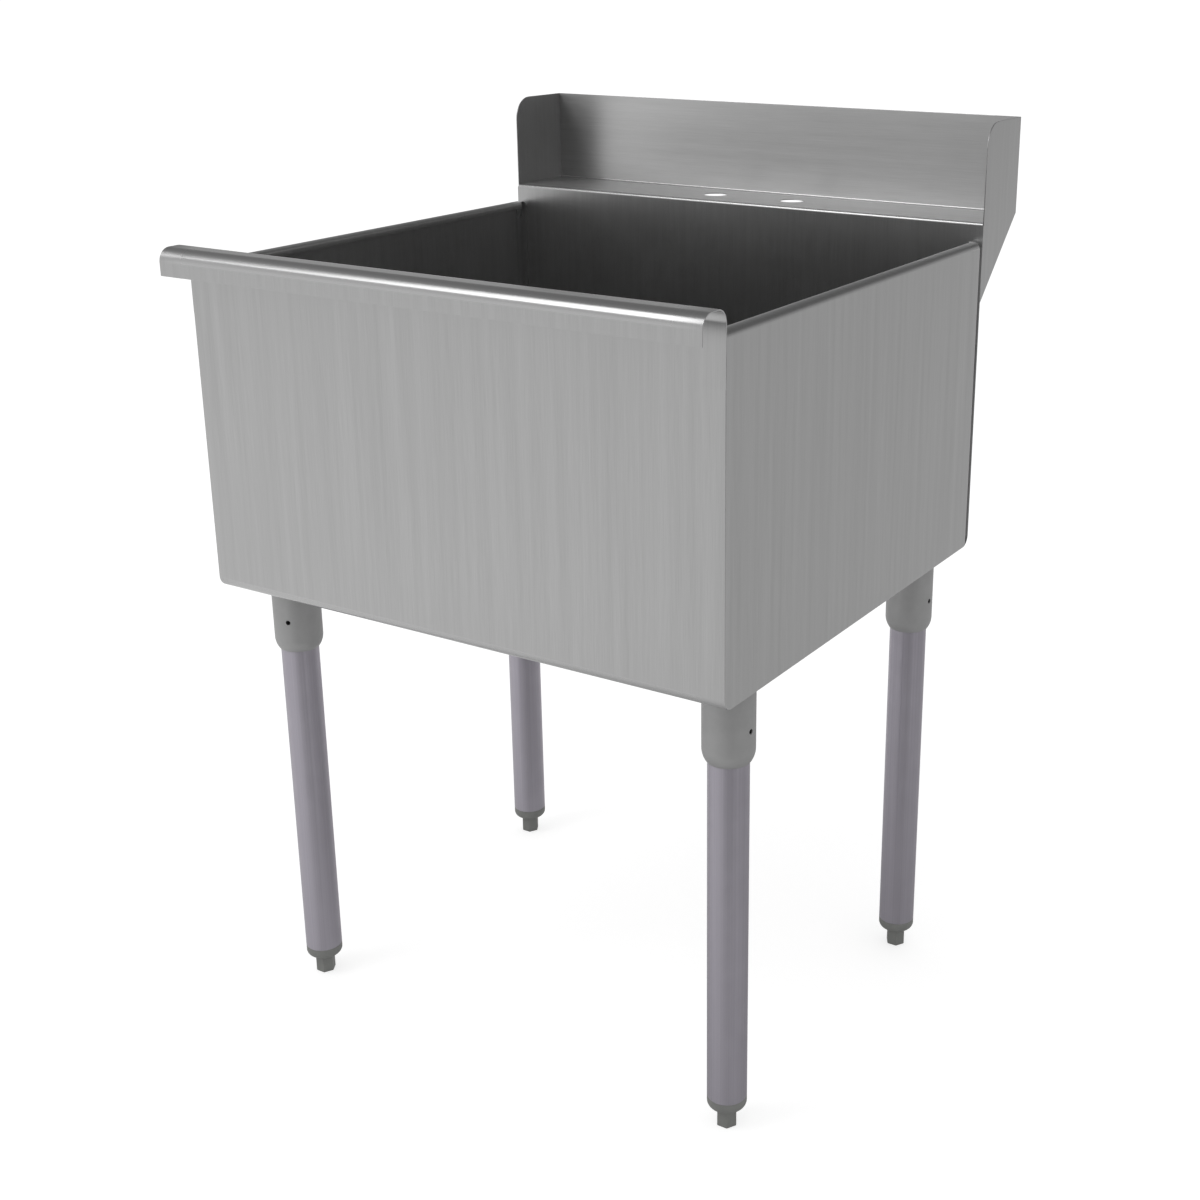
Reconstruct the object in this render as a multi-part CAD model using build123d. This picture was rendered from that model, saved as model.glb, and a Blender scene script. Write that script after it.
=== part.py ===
from build123d import *
import os
from math import cos, radians, tan

# Utility laundry sink of folded stainless sheet, on four tube legs with screw feet.
# Millimetres. X runs from left to right, Y from front to back, Z up from the floor.
# The origin lies on the floor under the middle of the space that the sink fills.

# Sheet metal of the bowl
sheet = 1.2                 # 18 gauge stainless
sink_width = 609.6          # over both side panels
bowl_length = 530.0         # front panel's outer face to back wall's outer face
bowl_underside = 482.4      # height of the bowl's underside over the floor
deck_rise = 356.6           # deck top and roll top over the bowl's underside
rim_rise = 337.6            # side panel tops over the bowl's underside
floor_bend = 12.0           # outside radius of the two bends along the floor

# Rolled front rim
roll_diameter = 38.1
skirt_drop = 7.5            # straight lip below the roll

# Faucet deck and backsplash
deck_depth = 89.0           # back wall's outer face to the backsplash's rear face
deck_bend = 3.0             # outside radius of the deck's front edge
splash_bend = 2.0           # inside radius where the deck turns up
splash_rise = 102.0         # backsplash over the deck
faucet_hole_diameter = 27.0
faucet_spacing = 101.6
faucet_setback = 44.5       # hole centres behind the back wall's outer face

# Side panels
side_bend = 7.5             # outside radius along the top and rear edges
side_corner = 9.0           # outline radius at the top rear corner
side_flange = 9.6           # how far the folded edges reach inwards
side_lip = 6.0              # turned-down lip at the inner edge of the top flange

# End returns
return_corner = 19.0        # rounded top front corner
return_drop = 85.0          # lowest point, below the deck
return_edge = 0.4           # broken edges

# Floor pitch and drain recess
field_gap = 6.0             # leg sockets to the edge of the pitched field
field_fall = 8.0            # fall of the pitched field at its centre
recess_depth = 12.0
recess_margin = 3.85        # seat beyond the strainer's flange
recess_slope = 35.0         # degrees
drain_hole_gap = 2.5        # drain hole round the strainer's cup

# Legs
tube_diameter = 40.0
tube_wall = 1.2
leg_inset_x = 36.8          # leg centres inside the side panels
leg_inset_y = 69.5          # leg centres inside the front panel and the back wall
leg_clearance = 0.15        # between each tube and its socket

# Leg sockets and their set screws
socket_wall = 5.25          # round the tube's bore
socket_length = 81.5
socket_taper = 13.0         # rounded stretch at the socket's mouth
socket_roof = 3.0
mouth_wall = 1.0            # wall left at the very end of the socket
screw_diameter = 5.0
screw_drop = 46.5           # screw centres below the bowl's underside
screw_recess = 1.0          # screw ends below the socket's surface
screw_key = 2.5             # across flats of the key recess
screw_key_depth = 2.5
screw_clearance = 0.1
screw_turn_right = -6.0     # degrees round each right leg, from +X
screw_turn_left = -69.0     # degrees round each left leg, from +X

# Bullet feet
foot_hexagon = 19.05        # across flats
foot_height = 17.0          # hexagon below the insert when screwed home
foot_seat_gap = 0.3
foot_chamfer = 0.6
foot_travel = 25.0
dome_height = 11.0
collar_height = 6.0         # insert's collar between the dome and the tube
plug_length = 30.0
plug_clearance = 0.05
stem_diameter = 12.0
stem_clearance = 0.3
stem_hold = 15.0            # stem left in the insert at full travel

# Drain strainer
strainer_cup_diameter = 84.0
strainer_cup_depth = 38.0   # flange underside to the cup's inner floor
strainer_wall = 2.0
flange_reach = 15.15        # flange beyond the cup
flange_thickness = 2.0
throat_cone = 9.0           # height over which the cup narrows to the outlet
outlet_diameter = 47.6      # 1-1/2 in slip-joint thread
outlet_wall = 2.8
outlet_length = 20.0
gasket_thickness = 3.0
gasket_reach = 14.0         # gasket and friction washer beyond the cup
washer_thickness = 1.2
nut_thickness = 9.0
nut_reach = 11.0            # nut and lugs beyond the cup
nut_lug = 7.0
nut_lugs = 6
ring_clearance = 0.3        # rings round the strainer cup

# Strainer basket
basket_gap = 2.5            # basket rim inside the strainer cup
basket_wall = 1.0
basket_depth = 27.0
basket_taper = 8.5          # floor inside the rim
basket_rim = 2.0            # rolled-out rim
basket_lift = 2.0           # basket floor above its stopper seal
basket_hole = 3.4
basket_rings = 3
basket_ring_gap = 4.0       # holes clear of the post's foot and of the wall
basket_slots = 12
basket_slot_width = 2.6
basket_slot_height = 9.0
seal_overlap = 6.0          # stopper seal beyond the outlet's throat
seal_thickness = 4.0
seal_gap = 0.3
post_diameter = 6.0
knob_diameter = 19.0
knob_thickness = 5.0
knob_rise = 10.0            # knob top above the strainer flange

# Planes and lines worked out from the sizes above
roll_radius = roll_diameter / 2
roll_overhang = roll_diameter - sheet
total_depth = roll_overhang + bowl_length + deck_depth
front_y = roll_overhang - total_depth / 2
back_y = front_y + bowl_length
rear_y = back_y + deck_depth
wet_front_y = front_y + sheet
wet_back_y = back_y - sheet
deck_z = bowl_underside + deck_rise
rim_z = bowl_underside + rim_rise
splash_z = deck_z + splash_rise
half_width = sink_width / 2
wet_bend = floor_bend - sheet
drain_y = (front_y + back_y) / 2
seat_z = bowl_underside + sheet - recess_depth

leg_x = half_width - leg_inset_x
leg_places = {
    "front_left": (-leg_x, front_y + leg_inset_y),
    "front_right": (leg_x, front_y + leg_inset_y),
    "rear_left": (-leg_x, back_y - leg_inset_y),
    "rear_right": (leg_x, back_y - leg_inset_y),
}
screw_turns = {
    "front_left": screw_turn_left,
    "front_right": screw_turn_right,
    "rear_left": screw_turn_left,
    "rear_right": screw_turn_right,
}
tube_radius = tube_diameter / 2
bore_radius = tube_radius + leg_clearance
socket_radius = bore_radius + socket_wall
tube_top = bowl_underside - socket_roof
dome_foot = foot_height + foot_seat_gap
dome_top = dome_foot + dome_height
tube_end = dome_top + collar_height

# Drain sizes, with heights from the seat of the drain recess
cup_radius = strainer_cup_diameter / 2
cup_inner = cup_radius - strainer_wall
cup_floor = -strainer_cup_depth
flange_radius = cup_radius + flange_reach
recess_seat_radius = flange_radius + recess_margin
ring_bore = cup_radius + ring_clearance
gasket_radius = cup_radius + gasket_reach
nut_radius = cup_radius + nut_reach
outlet_radius = outlet_diameter / 2
throat_radius = outlet_radius - outlet_wall
outlet_top = cup_floor - strainer_wall - throat_cone
outlet_end = outlet_top - outlet_length
seal_radius = throat_radius + seal_overlap
seal_low = cup_floor + seal_gap
seal_high = seal_low + seal_thickness
basket_floor = seal_high + basket_lift
basket_top = basket_floor + basket_depth
basket_rim_radius = cup_inner - basket_gap
basket_floor_radius = basket_rim_radius - basket_taper
post_radius = post_diameter / 2

# Pieces drawn upwards from a base on their own axis
on_base = (Align.CENTER, Align.CENTER, Align.MIN)


def along_x(section, start, end):
    """Solid of a (y, z) section, from one X to another."""
    return Pos(start, 0, 0) * extrude(Plane.YZ * section, amount=end - start)


def turned(outline):
    """Solid of a closed (radius, z) outline turned round Z."""
    return revolve(Plane.XZ * make_face(outline), axis=Axis.Z)


def ring(outer_radius, inner_radius, low, high):
    """Flat ring round Z."""
    return turned(
        Polyline(
            (inner_radius, low),
            (outer_radius, low),
            (outer_radius, high),
            (inner_radius, high),
            close=True,
        )
    )


# ---- Bowl ----


def fold_line(depth):
    """Line of the wrapper's section, at a depth below its wet face, from skirt to backsplash."""
    roll_y = wet_front_y - roll_radius
    roll_z = deck_z - roll_radius
    skirt_y = roll_y - roll_radius + depth
    skirt = Line((skirt_y, roll_z - skirt_drop), (skirt_y, roll_z))
    roll = CenterArc((roll_y, roll_z), roll_radius - depth, 180, -180)
    folds = FilletPolyline(
        (wet_front_y - depth, roll_z),
        (wet_front_y - depth, bowl_underside + sheet - depth),
        (wet_back_y + depth, bowl_underside + sheet - depth),
        (wet_back_y + depth, deck_z - depth),
        (rear_y - sheet + depth, deck_z - depth),
        (rear_y - sheet + depth, splash_z),
        radius=[wet_bend + depth, wet_bend + depth, deck_bend - depth, splash_bend + depth],
    )
    return skirt + roll + folds


def wrapper_section():
    """Section of the folded sheet: its wet line, its dry line and the two cut ends."""
    wet = fold_line(0)
    dry = fold_line(sheet)
    roll_z = deck_z - roll_radius
    skirt_y = wet_front_y - roll_diameter
    skirt_end = Line((skirt_y, roll_z - skirt_drop), (skirt_y + sheet, roll_z - skirt_drop))
    splash_end = Line((rear_y - sheet, splash_z), (rear_y, splash_z))
    return make_face(wet.edges() + dry.edges() + skirt_end.edges() + splash_end.edges())


def floor_fall(top_z):
    """Space under a level: a shallow four-sided funnel, and the drain recess at its centre."""
    field_x = leg_x - socket_radius - field_gap
    field_y = bowl_length / 2 - leg_inset_y - socket_radius - field_gap
    field = loft([Rectangle(2 * field_x, 2 * field_y).face(), Vertex(0, 0, -field_fall)], ruled=True)
    recess_run = recess_depth / tan(radians(recess_slope))
    recess = Cone(recess_seat_radius, recess_seat_radius + recess_run, recess_depth)
    recess = Pos(0, 0, -recess_depth / 2) * recess
    return Pos(0, drain_y, top_z) * (field + recess)


def basin_wrapper():
    """One sheet folded from skirt to backsplash, with its pitched floor, drain and faucet holes."""
    body = along_x(wrapper_section(), -half_width, half_width)
    body = body + floor_fall(bowl_underside)
    body = body - floor_fall(bowl_underside + sheet)
    body -= Pos(0, drain_y, seat_z) * Cylinder(cup_radius + drain_hole_gap, 4 * sheet)
    for side in (-1, 1):
        hole = Cylinder(faucet_hole_diameter / 2, 4 * sheet)
        body -= Pos(side * faucet_spacing / 2, back_y + faucet_setback, deck_z) * hole
        trim_height = return_drop + splash_rise + sheet
        end_trim = Box(sheet, deck_depth, trim_height, align=(Align.CENTER, Align.MIN, Align.MAX))
        body -= Pos(side * (half_width - sheet / 2), back_y, splash_z + sheet) * end_trim
    return body


def panel_block(inset):
    """Block inside a right side panel's skin, inset from it, past its front and bottom."""
    low_y = front_y - floor_bend
    low_z = bowl_underside - floor_bend
    high_y = wet_back_y - inset
    high_z = rim_z - inset
    outline = Rectangle(high_y - low_y, high_z - low_z, align=Align.MIN)
    outline = Pos(low_y, low_z) * outline
    corner = outline.vertices().sort_by(Axis.X)[-2:].sort_by(Axis.Y)[-1]
    outline = fillet(corner, side_corner - inset)
    block = along_x(outline, half_width - side_flange - inset, half_width - inset)
    skin = block.faces().sort_by(Axis.X)[-1]
    folded = [
        edge
        for edge in skin.edges()
        if edge.center().Y > low_y + sheet and edge.center().Z > low_z + sheet
    ]
    return fillet(folded, side_bend - inset)


def side_panel():
    """Right side panel: flat sheet folded in along its top and rear, with a lip under the top."""
    panel = panel_block(0) - panel_block(sheet)
    bowl = Rectangle(wet_back_y - wet_front_y, rim_rise + floor_bend, align=Align.MIN)
    bowl = fillet(bowl.vertices().group_by(Axis.Y)[0], wet_bend)
    bowl = Pos(wet_front_y, bowl_underside + sheet) * bowl
    panel = panel & along_x(bowl, half_width - 2 * side_flange, half_width)
    lip_length = wet_back_y - sheet - wet_front_y
    lip = Box(sheet, lip_length, side_lip, align=(Align.MIN, Align.MIN, Align.MAX))
    lip = Pos(half_width - side_flange, wet_front_y, rim_z) * lip
    panel = panel + lip
    top_edge = [
        edge
        for edge in panel.edges().filter_by(Axis.Y)
        if abs(edge.center().Z - rim_z) < 0.01 and abs(edge.center().X - half_width + side_flange) < 0.01
    ]
    return fillet(top_edge, 0.75 * sheet)


def end_return():
    """Right end return: plate beside the deck and backsplash that runs down as a gusset."""
    outline = make_face(
        Polyline(
            (back_y, deck_z - return_drop),
            (rear_y, deck_z),
            (rear_y, splash_z),
            (back_y, splash_z),
            close=True,
        )
    )
    corner = outline.vertices().group_by(Axis.Y)[-1].sort_by(Axis.X)[0]
    plate = along_x(fillet(corner, return_corner), half_width - sheet, half_width)
    front = [
        edge
        for edge in plate.edges()
        if edge.center().Z > deck_z
        and edge.center().Y < back_y + return_corner
        and abs(edge.tangent_at(0.5).X) < 0.1
    ]
    return fillet(front, return_edge)


# ---- Legs, with their own origin on the floor under the leg ----


def leg_socket(turn):
    """Cup welded under the floor, with a rounded mouth and a set screw hole."""
    mouth_z = bowl_underside - socket_length
    straight = Line((socket_radius, bowl_underside), (socket_radius, mouth_z + socket_taper))
    taper = TangentArc(
        (socket_radius, mouth_z + socket_taper), (bore_radius + mouth_wall, mouth_z), tangent=(0, -1)
    )
    inside = Polyline(
        (bore_radius + mouth_wall, mouth_z),
        (bore_radius, mouth_z),
        (bore_radius, tube_top),
        (0, tube_top),
        (0, bowl_underside),
        (socket_radius, bowl_underside),
    )
    cup = turned(straight.edges() + taper.edges() + inside.edges())
    hole = Cylinder(screw_diameter / 2 + screw_clearance, socket_radius, align=on_base)
    return cup - Pos(0, 0, bowl_underside - screw_drop) * Rot(0, 0, turn) * Rot(0, 90, 0) * hole


def set_screw(turn):
    """Headless screw with a key recess, against the leg tube."""
    length = socket_radius - screw_recess - bore_radius
    body = Cylinder(screw_diameter / 2, length, align=on_base)
    key = extrude(RegularPolygon(screw_key / 2, 6, major_radius=False), amount=screw_key_depth)
    body -= Pos(0, 0, length - screw_key_depth) * key
    body = Pos(0, 0, bore_radius) * body
    return Pos(0, 0, bowl_underside - screw_drop) * Rot(0, 0, turn) * Rot(0, 90, 0) * body


def leg_tube():
    """Plain tube from the socket's roof to the foot insert's collar."""
    return ring(tube_radius, tube_radius - tube_wall, tube_end, tube_top)


def foot_insert():
    """Plug pressed in the tube, with a collar and dome below it and a bore for the stem."""
    plug_radius = tube_radius - tube_wall - plug_clearance
    stem_bore = stem_diameter / 2 + stem_clearance
    dome_end = foot_hexagon / 2 / cos(radians(30))
    dome = TangentArc((tube_radius, dome_top), (dome_end, dome_foot), tangent=(0, -1))
    rest = Polyline(
        (dome_end, dome_foot),
        (stem_bore, dome_foot),
        (stem_bore, tube_end + plug_length),
        (plug_radius, tube_end + plug_length),
        (plug_radius, tube_end),
        (tube_radius, tube_end),
        (tube_radius, dome_top),
    )
    return turned(dome.edges() + rest.edges())


def adjustable_foot():
    """Hexagon that stands on the floor, on a stem that screws into the insert."""
    hexagon = extrude(RegularPolygon(foot_hexagon / 2, 6, major_radius=False), amount=foot_height)
    hexagon = chamfer(hexagon.edges().group_by(Axis.Z)[0], foot_chamfer)
    stem_length = foot_seat_gap + foot_travel + stem_hold
    stem = Cylinder(stem_diameter / 2, stem_length, align=on_base)
    return hexagon + Pos(0, 0, foot_height) * stem


# ---- Drain, with its own origin on the drain recess's seat ----


def strainer_body():
    """Flanged cup that narrows to a threaded outlet."""
    return turned(
        Polyline(
            (flange_radius, 0),
            (flange_radius, flange_thickness / 2),
            (flange_radius - flange_thickness, flange_thickness),
            (cup_inner + strainer_wall / 2, flange_thickness),
            (cup_inner, flange_thickness / 2),
            (cup_inner, cup_floor),
            (throat_radius + strainer_wall, cup_floor),
            (throat_radius, cup_floor - strainer_wall),
            (throat_radius, outlet_end),
            (outlet_radius, outlet_end),
            (outlet_radius, outlet_top),
            (cup_radius, cup_floor - strainer_wall),
            (cup_radius, 0),
            close=True,
        )
    )


def drain_gasket():
    """Rubber ring pressed against the underside of the recess."""
    return ring(gasket_radius, ring_bore, -sheet - gasket_thickness, -sheet)


def drain_friction_washer():
    """Thin ring that lets the nut turn without dragging the rubber."""
    high = -sheet - gasket_thickness
    return ring(gasket_radius, ring_bore, high - washer_thickness, high)


def drain_locknut():
    """Ring nut with lugs for a spanner."""
    high = -sheet - gasket_thickness - washer_thickness
    low = high - nut_thickness
    nut = ring(nut_radius - nut_lug, ring_bore, low, high)
    nut += ring(nut_radius, ring_bore, high - nut_thickness / 3, high)
    inner_end = (Align.MAX, Align.CENTER, Align.MIN)
    lug = Box(nut_lug + washer_thickness, nut_lug, nut_thickness, align=inner_end)
    for turn in range(nut_lugs):
        nut += Rot(0, 0, turn * 360 / nut_lugs) * Pos(nut_radius - washer_thickness, 0, low) * lug
    return nut


def strainer_basket():
    """Tapered cup with a rim, rings of round holes in its floor and slots round its wall."""
    cup = turned(
        Polyline(
            (post_radius, basket_floor),
            (basket_floor_radius, basket_floor),
            (basket_rim_radius - basket_rim, basket_top),
            (basket_rim_radius, basket_top),
            (basket_rim_radius, basket_top + basket_wall),
            (basket_rim_radius - basket_rim - basket_wall, basket_top + basket_wall),
            (basket_floor_radius - basket_wall, basket_floor + basket_wall),
            (post_radius, basket_floor + basket_wall),
            close=True,
        )
    )
    hole = Pos(0, 0, basket_floor) * Cylinder(basket_hole / 2, 4 * basket_wall)
    holes = []
    first_ring = 2 * post_radius + basket_ring_gap
    last_ring = basket_floor_radius - basket_wall - basket_ring_gap / 2 - basket_hole / 2
    for number in range(basket_rings):
        radius = first_ring + (last_ring - first_ring) * number / (basket_rings - 1)
        count = basket_rings * (number + 2)
        holes += [Rot(0, 0, place * 360 / count) * Pos(radius, 0, 0) * hole for place in range(count)]
    outer_end = (Align.MIN, Align.CENTER, Align.MIN)
    slot = Box(basket_rim_radius, basket_slot_width, basket_slot_height, align=outer_end)
    slot_low = basket_floor + (basket_depth - basket_slot_height) / 2
    slots = [
        Rot(0, 0, (place + 0.5) * 360 / basket_slots) * Pos(basket_floor_radius / 2, 0, slot_low) * slot
        for place in range(basket_slots)
    ]
    return cup - holes - slots


def basket_post():
    """Post from the stopper seal up through the basket's floor, with its knob."""
    knob_top = flange_thickness + knob_rise
    knob_radius = knob_diameter / 2
    outline = Polyline(
        (0, seal_high),
        (2 * post_radius, seal_high),
        (2 * post_radius, basket_floor - seal_gap),
        (post_radius, basket_floor - seal_gap),
        (post_radius, knob_top - knob_thickness),
        (knob_radius, knob_top - knob_thickness),
        (knob_radius, knob_top),
        (0, knob_top),
        close=True,
    )
    post = turned(outline)
    rim = post.edges().filter_by(GeomType.CIRCLE).group_by(SortBy.RADIUS)[-1]
    return fillet(rim, knob_thickness / 3)


def basket_stopper_seal():
    """Rubber disc that closes the throat when the basket is down."""
    disc = Cylinder(seal_radius, seal_thickness, align=on_base)
    return Pos(0, 0, seal_low) * disc


# ---- The whole sink ----


def sink():
    """Every piece in its place, by name."""
    right_panel = side_panel()
    right_return = end_return()
    pieces = {
        "basin_wrapper": basin_wrapper(),
        "side_panel_right": right_panel,
        "side_panel_left": mirror(right_panel, about=Plane.YZ),
        "end_return_right": right_return,
        "end_return_left": mirror(right_return, about=Plane.YZ),
    }
    screws = []
    for name, (x, y) in leg_places.items():
        place = Pos(x, y, 0)
        turn = screw_turns[name]
        pieces["leg_socket_" + name] = place * leg_socket(turn)
        pieces["leg_tube_" + name] = place * leg_tube()
        pieces["foot_insert_" + name] = place * foot_insert()
        pieces["adjustable_foot_" + name] = place * adjustable_foot()
        screws.append(place * set_screw(turn))
    pieces["socket_set_screws"] = Compound(children=screws)
    drain = Pos(0, drain_y, seat_z)
    for make in (
        strainer_body,
        drain_gasket,
        drain_friction_washer,
        drain_locknut,
        strainer_basket,
        basket_post,
        basket_stopper_seal,
    ):
        pieces[make.__name__] = drain * make()
    return pieces


os.makedirs("parts", exist_ok=True)
for node, shape in sink().items():
    export_step(shape, "parts/" + node + ".step")
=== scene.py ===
"""Looks of a utility laundry sink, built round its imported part.

Metres. X runs from left to right, Y from front to back, Z up from the floor.
"""

from __future__ import annotations

import logging
import math
from collections.abc import Callable, Sequence
from dataclasses import dataclass, field
from enum import Enum

import bmesh
import bpy
from mathutils import Matrix, Vector


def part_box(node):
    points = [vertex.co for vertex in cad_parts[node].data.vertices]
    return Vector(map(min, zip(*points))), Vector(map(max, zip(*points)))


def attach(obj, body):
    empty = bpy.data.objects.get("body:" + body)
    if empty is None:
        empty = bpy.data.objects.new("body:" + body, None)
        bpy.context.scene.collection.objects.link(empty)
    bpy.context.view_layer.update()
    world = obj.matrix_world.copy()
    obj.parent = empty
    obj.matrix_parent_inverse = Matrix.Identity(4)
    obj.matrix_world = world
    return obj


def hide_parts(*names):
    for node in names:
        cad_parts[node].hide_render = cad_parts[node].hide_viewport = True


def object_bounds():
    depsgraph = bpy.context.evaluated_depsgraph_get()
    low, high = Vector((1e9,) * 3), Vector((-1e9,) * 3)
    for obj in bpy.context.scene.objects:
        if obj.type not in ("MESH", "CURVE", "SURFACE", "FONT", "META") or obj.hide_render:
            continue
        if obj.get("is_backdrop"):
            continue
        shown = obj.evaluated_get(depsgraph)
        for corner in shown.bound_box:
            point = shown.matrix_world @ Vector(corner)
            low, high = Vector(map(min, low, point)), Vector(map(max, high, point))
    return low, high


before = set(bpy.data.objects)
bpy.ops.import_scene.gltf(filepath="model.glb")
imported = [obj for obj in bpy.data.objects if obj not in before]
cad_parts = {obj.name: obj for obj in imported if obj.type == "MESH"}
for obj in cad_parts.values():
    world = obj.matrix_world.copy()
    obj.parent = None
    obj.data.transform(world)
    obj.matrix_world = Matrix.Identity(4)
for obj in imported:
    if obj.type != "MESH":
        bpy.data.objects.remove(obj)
CAD_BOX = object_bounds()

LOG = logging.getLogger("sink")
MM = 0.001
LEGS = ("front_left", "front_right", "rear_left", "rear_right")
UV_NAME = "grain"
BEND_NAME = "bend"
SHEET = 1.2 * MM
SHARP_EDGE = math.radians(32)
ARC_STEP = math.radians(9)
ROLL_STEP = math.radians(4.5)
TAPER_STEP = math.radians(6)
SAME_PLACE = 1e-7

Point = tuple[float, float]
Corner = tuple[float, float, float]
Socket = bpy.types.NodeSocket


class Brushing(Enum):
    """Which way the scratches run on a face."""

    ALONG = "along the sheet or the outline"
    ACROSS = "across it, or round the axis"


# ---- Outlines ----


def arc(centre: Point, radius: float, start: float, end: float, step: float = ARC_STEP) -> list[Point]:
    """Points of a circular arc.

    Args:
        centre: The arc's centre.
        radius: Its radius.
        start: Angle of the first point, in radians.
        end: Angle of the last point.
        step: The largest angle between two points.

    Returns:
        The points, both ends included.
    """
    count = max(2, math.ceil(abs(end - start) / step))
    angles = [start + (end - start) * i / count for i in range(count + 1)]
    return [(centre[0] + radius * math.cos(a), centre[1] + radius * math.sin(a)) for a in angles]


def filleted(corners: Sequence[Corner], closed: bool = False, steps: int = 0) -> list[Point]:
    """Outline through corners, each rounded by its own radius.

    Args:
        corners: The corners as (first, second, fillet radius).
        closed: Whether the last corner joins the first.
        steps: Points along each fillet, or 0 to go by its angle.

    Returns:
        The outline's points in order.
    """
    points: list[Point] = []
    count = len(corners)
    for index, (a, b, radius) in enumerate(corners):
        at_end = not closed and index in (0, count - 1)
        if at_end or radius <= 0:
            points.append((a, b))
            continue
        here = Vector((a, b))
        back = Vector(corners[index - 1][:2]) - here
        ahead = Vector(corners[(index + 1) % count][:2]) - here
        inside = back.angle(ahead)
        reach = min(radius / math.tan(inside / 2), 0.49 * back.length, 0.49 * ahead.length)
        radius = reach * math.tan(inside / 2)
        start = here + back.normalized() * reach
        centre = here + (back.normalized() + ahead.normalized()).normalized() * radius / math.sin(inside / 2)
        end = here + ahead.normalized() * reach
        first = math.atan2(*(start - centre).yx)
        turn = math.remainder(math.atan2(*(end - centre).yx) - first, math.tau)
        number = steps or max(2, math.ceil(abs(turn) / ARC_STEP))
        points += [
            (centre.x + radius * math.cos(first + turn * i / number),
             centre.y + radius * math.sin(first + turn * i / number))
            for i in range(number + 1)
        ]
    return points


def stations(*marks: tuple[float, int]) -> list[float]:
    """Values from mark to mark, each stretch cut in its own number of steps.

    Args:
        marks: (value, steps up to the next mark) in rising order.

    Returns:
        The values, both ends included.
    """
    values = []
    for (low, steps), (high, _) in zip(marks, marks[1:]):
        values += [low + (high - low) * i / steps for i in range(steps)]
    return values + [marks[-1][0]]


def flat(points: Sequence[Point]) -> list[Corner]:
    """Marks points as lying on a flat."""
    return [(y, z, 0.0) for y, z in points]


def bent(points: Sequence[Point], polish: float = 1.0) -> list[Corner]:
    """Marks points as lying on a bend, fading out at its two ends."""
    return [(y, z, polish if 0 < i < len(points) - 1 else 0.0) for i, (y, z) in enumerate(points)]


def merged(path: Sequence[Corner]) -> list[Corner]:
    """Drops each point that repeats the one before it."""
    return [p for i, p in enumerate(path) if not i or math.dist(p[:2], path[i - 1][:2]) > SAME_PLACE]


# ---- Meshes ----


@dataclass
class Surface:
    """An open or closed skin under construction, with its brushing laid out in a UV map."""

    name: str
    mesh: bmesh.types.BMesh = field(default_factory=bmesh.new)
    flat: dict[int, Point] = field(default_factory=dict)

    def __post_init__(self) -> None:
        """Adds the UV map and the layer that marks the bends."""
        self.uv = self.mesh.loops.layers.uv.new(UV_NAME)
        self.bend = self.mesh.verts.layers.float.new(BEND_NAME)

    def point(self, place: Sequence[float], flat: Point, bend: float = 0.0) -> bmesh.types.BMVert:
        """Adds a vertex.

        Args:
            place: Where it lies.
            flat: Where it lies on the flat sheet, as (across, along).
            bend: 1 on a bend, 0 on a flat.

        Returns:
            The vertex.
        """
        vert = self.mesh.verts.new(place)
        vert[self.bend] = bend
        vert.index = len(self.flat)
        self.flat[vert.index] = flat
        return vert

    def face(self, verts: Sequence[bmesh.types.BMVert], brushing: Brushing = Brushing.ALONG,
             flats: Sequence[Point] | None = None) -> None:
        """Adds a face.

        Args:
            verts: Its corners, anticlockwise seen from outside.
            brushing: Which way its scratches run.
            flats: Places on the flat sheet, where they differ from the vertices' own.
        """
        made = self.mesh.faces.new(verts)
        made.smooth = True
        places = flats or [self.flat[v.index] for v in verts]
        for loop, (across, along) in zip(made.loops, places):
            loop[self.uv].uv = (across, along) if brushing is Brushing.ALONG else (along, across)

    def strip(self, first: Sequence[bmesh.types.BMVert], second: Sequence[bmesh.types.BMVert],
              brushing: Brushing = Brushing.ALONG) -> None:
        """Joins two rows of as many vertices with quads."""
        for i in range(len(first) - 1):
            self.face((first[i], first[i + 1], second[i + 1], second[i]), brushing)

    def piece(self, turned: bool = False) -> bpy.types.Object:
        """Makes the object.

        Args:
            turned: Whether the faces were made facing inwards.

        Returns:
            The object, in the scene.
        """
        if turned:
            bmesh.ops.reverse_faces(self.mesh, faces=self.mesh.faces[:])
        data = bpy.data.meshes.new(self.name)
        self.mesh.to_mesh(data)
        self.mesh.free()
        made = bpy.data.objects.new(self.name, data)
        bpy.context.scene.collection.objects.link(made)
        return made


def applied(piece: bpy.types.Object) -> bpy.types.Object:
    """Turns a piece with its modifiers into a plain mesh.

    Args:
        piece: The piece.

    Returns:
        The same piece, with nothing live on it.
    """
    graph = bpy.context.evaluated_depsgraph_get()
    data = bpy.data.meshes.new_from_object(piece.evaluated_get(graph), preserve_all_data_layers=True,
                                           depsgraph=graph)
    piece.modifiers.clear()
    piece.data = data
    return piece


def modified(piece: bpy.types.Object, kind: str, **settings: object) -> bpy.types.Object:
    """Applies one modifier to a piece.

    Args:
        piece: The piece.
        kind: The modifier's type.
        settings: Its settings by name.

    Returns:
        The same piece.
    """
    modifier = piece.modifiers.new(kind.lower(), kind)
    for key, value in settings.items():
        setattr(modifier, key, value)
    return applied(piece)


def thickened(piece: bpy.types.Object) -> bpy.types.Object:
    """Gives a skin the sheet's thickness, on its inner side."""
    return modified(piece, "SOLIDIFY", thickness=SHEET, offset=-1.0, use_even_offset=True,
                    use_quality_normals=True)


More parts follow.
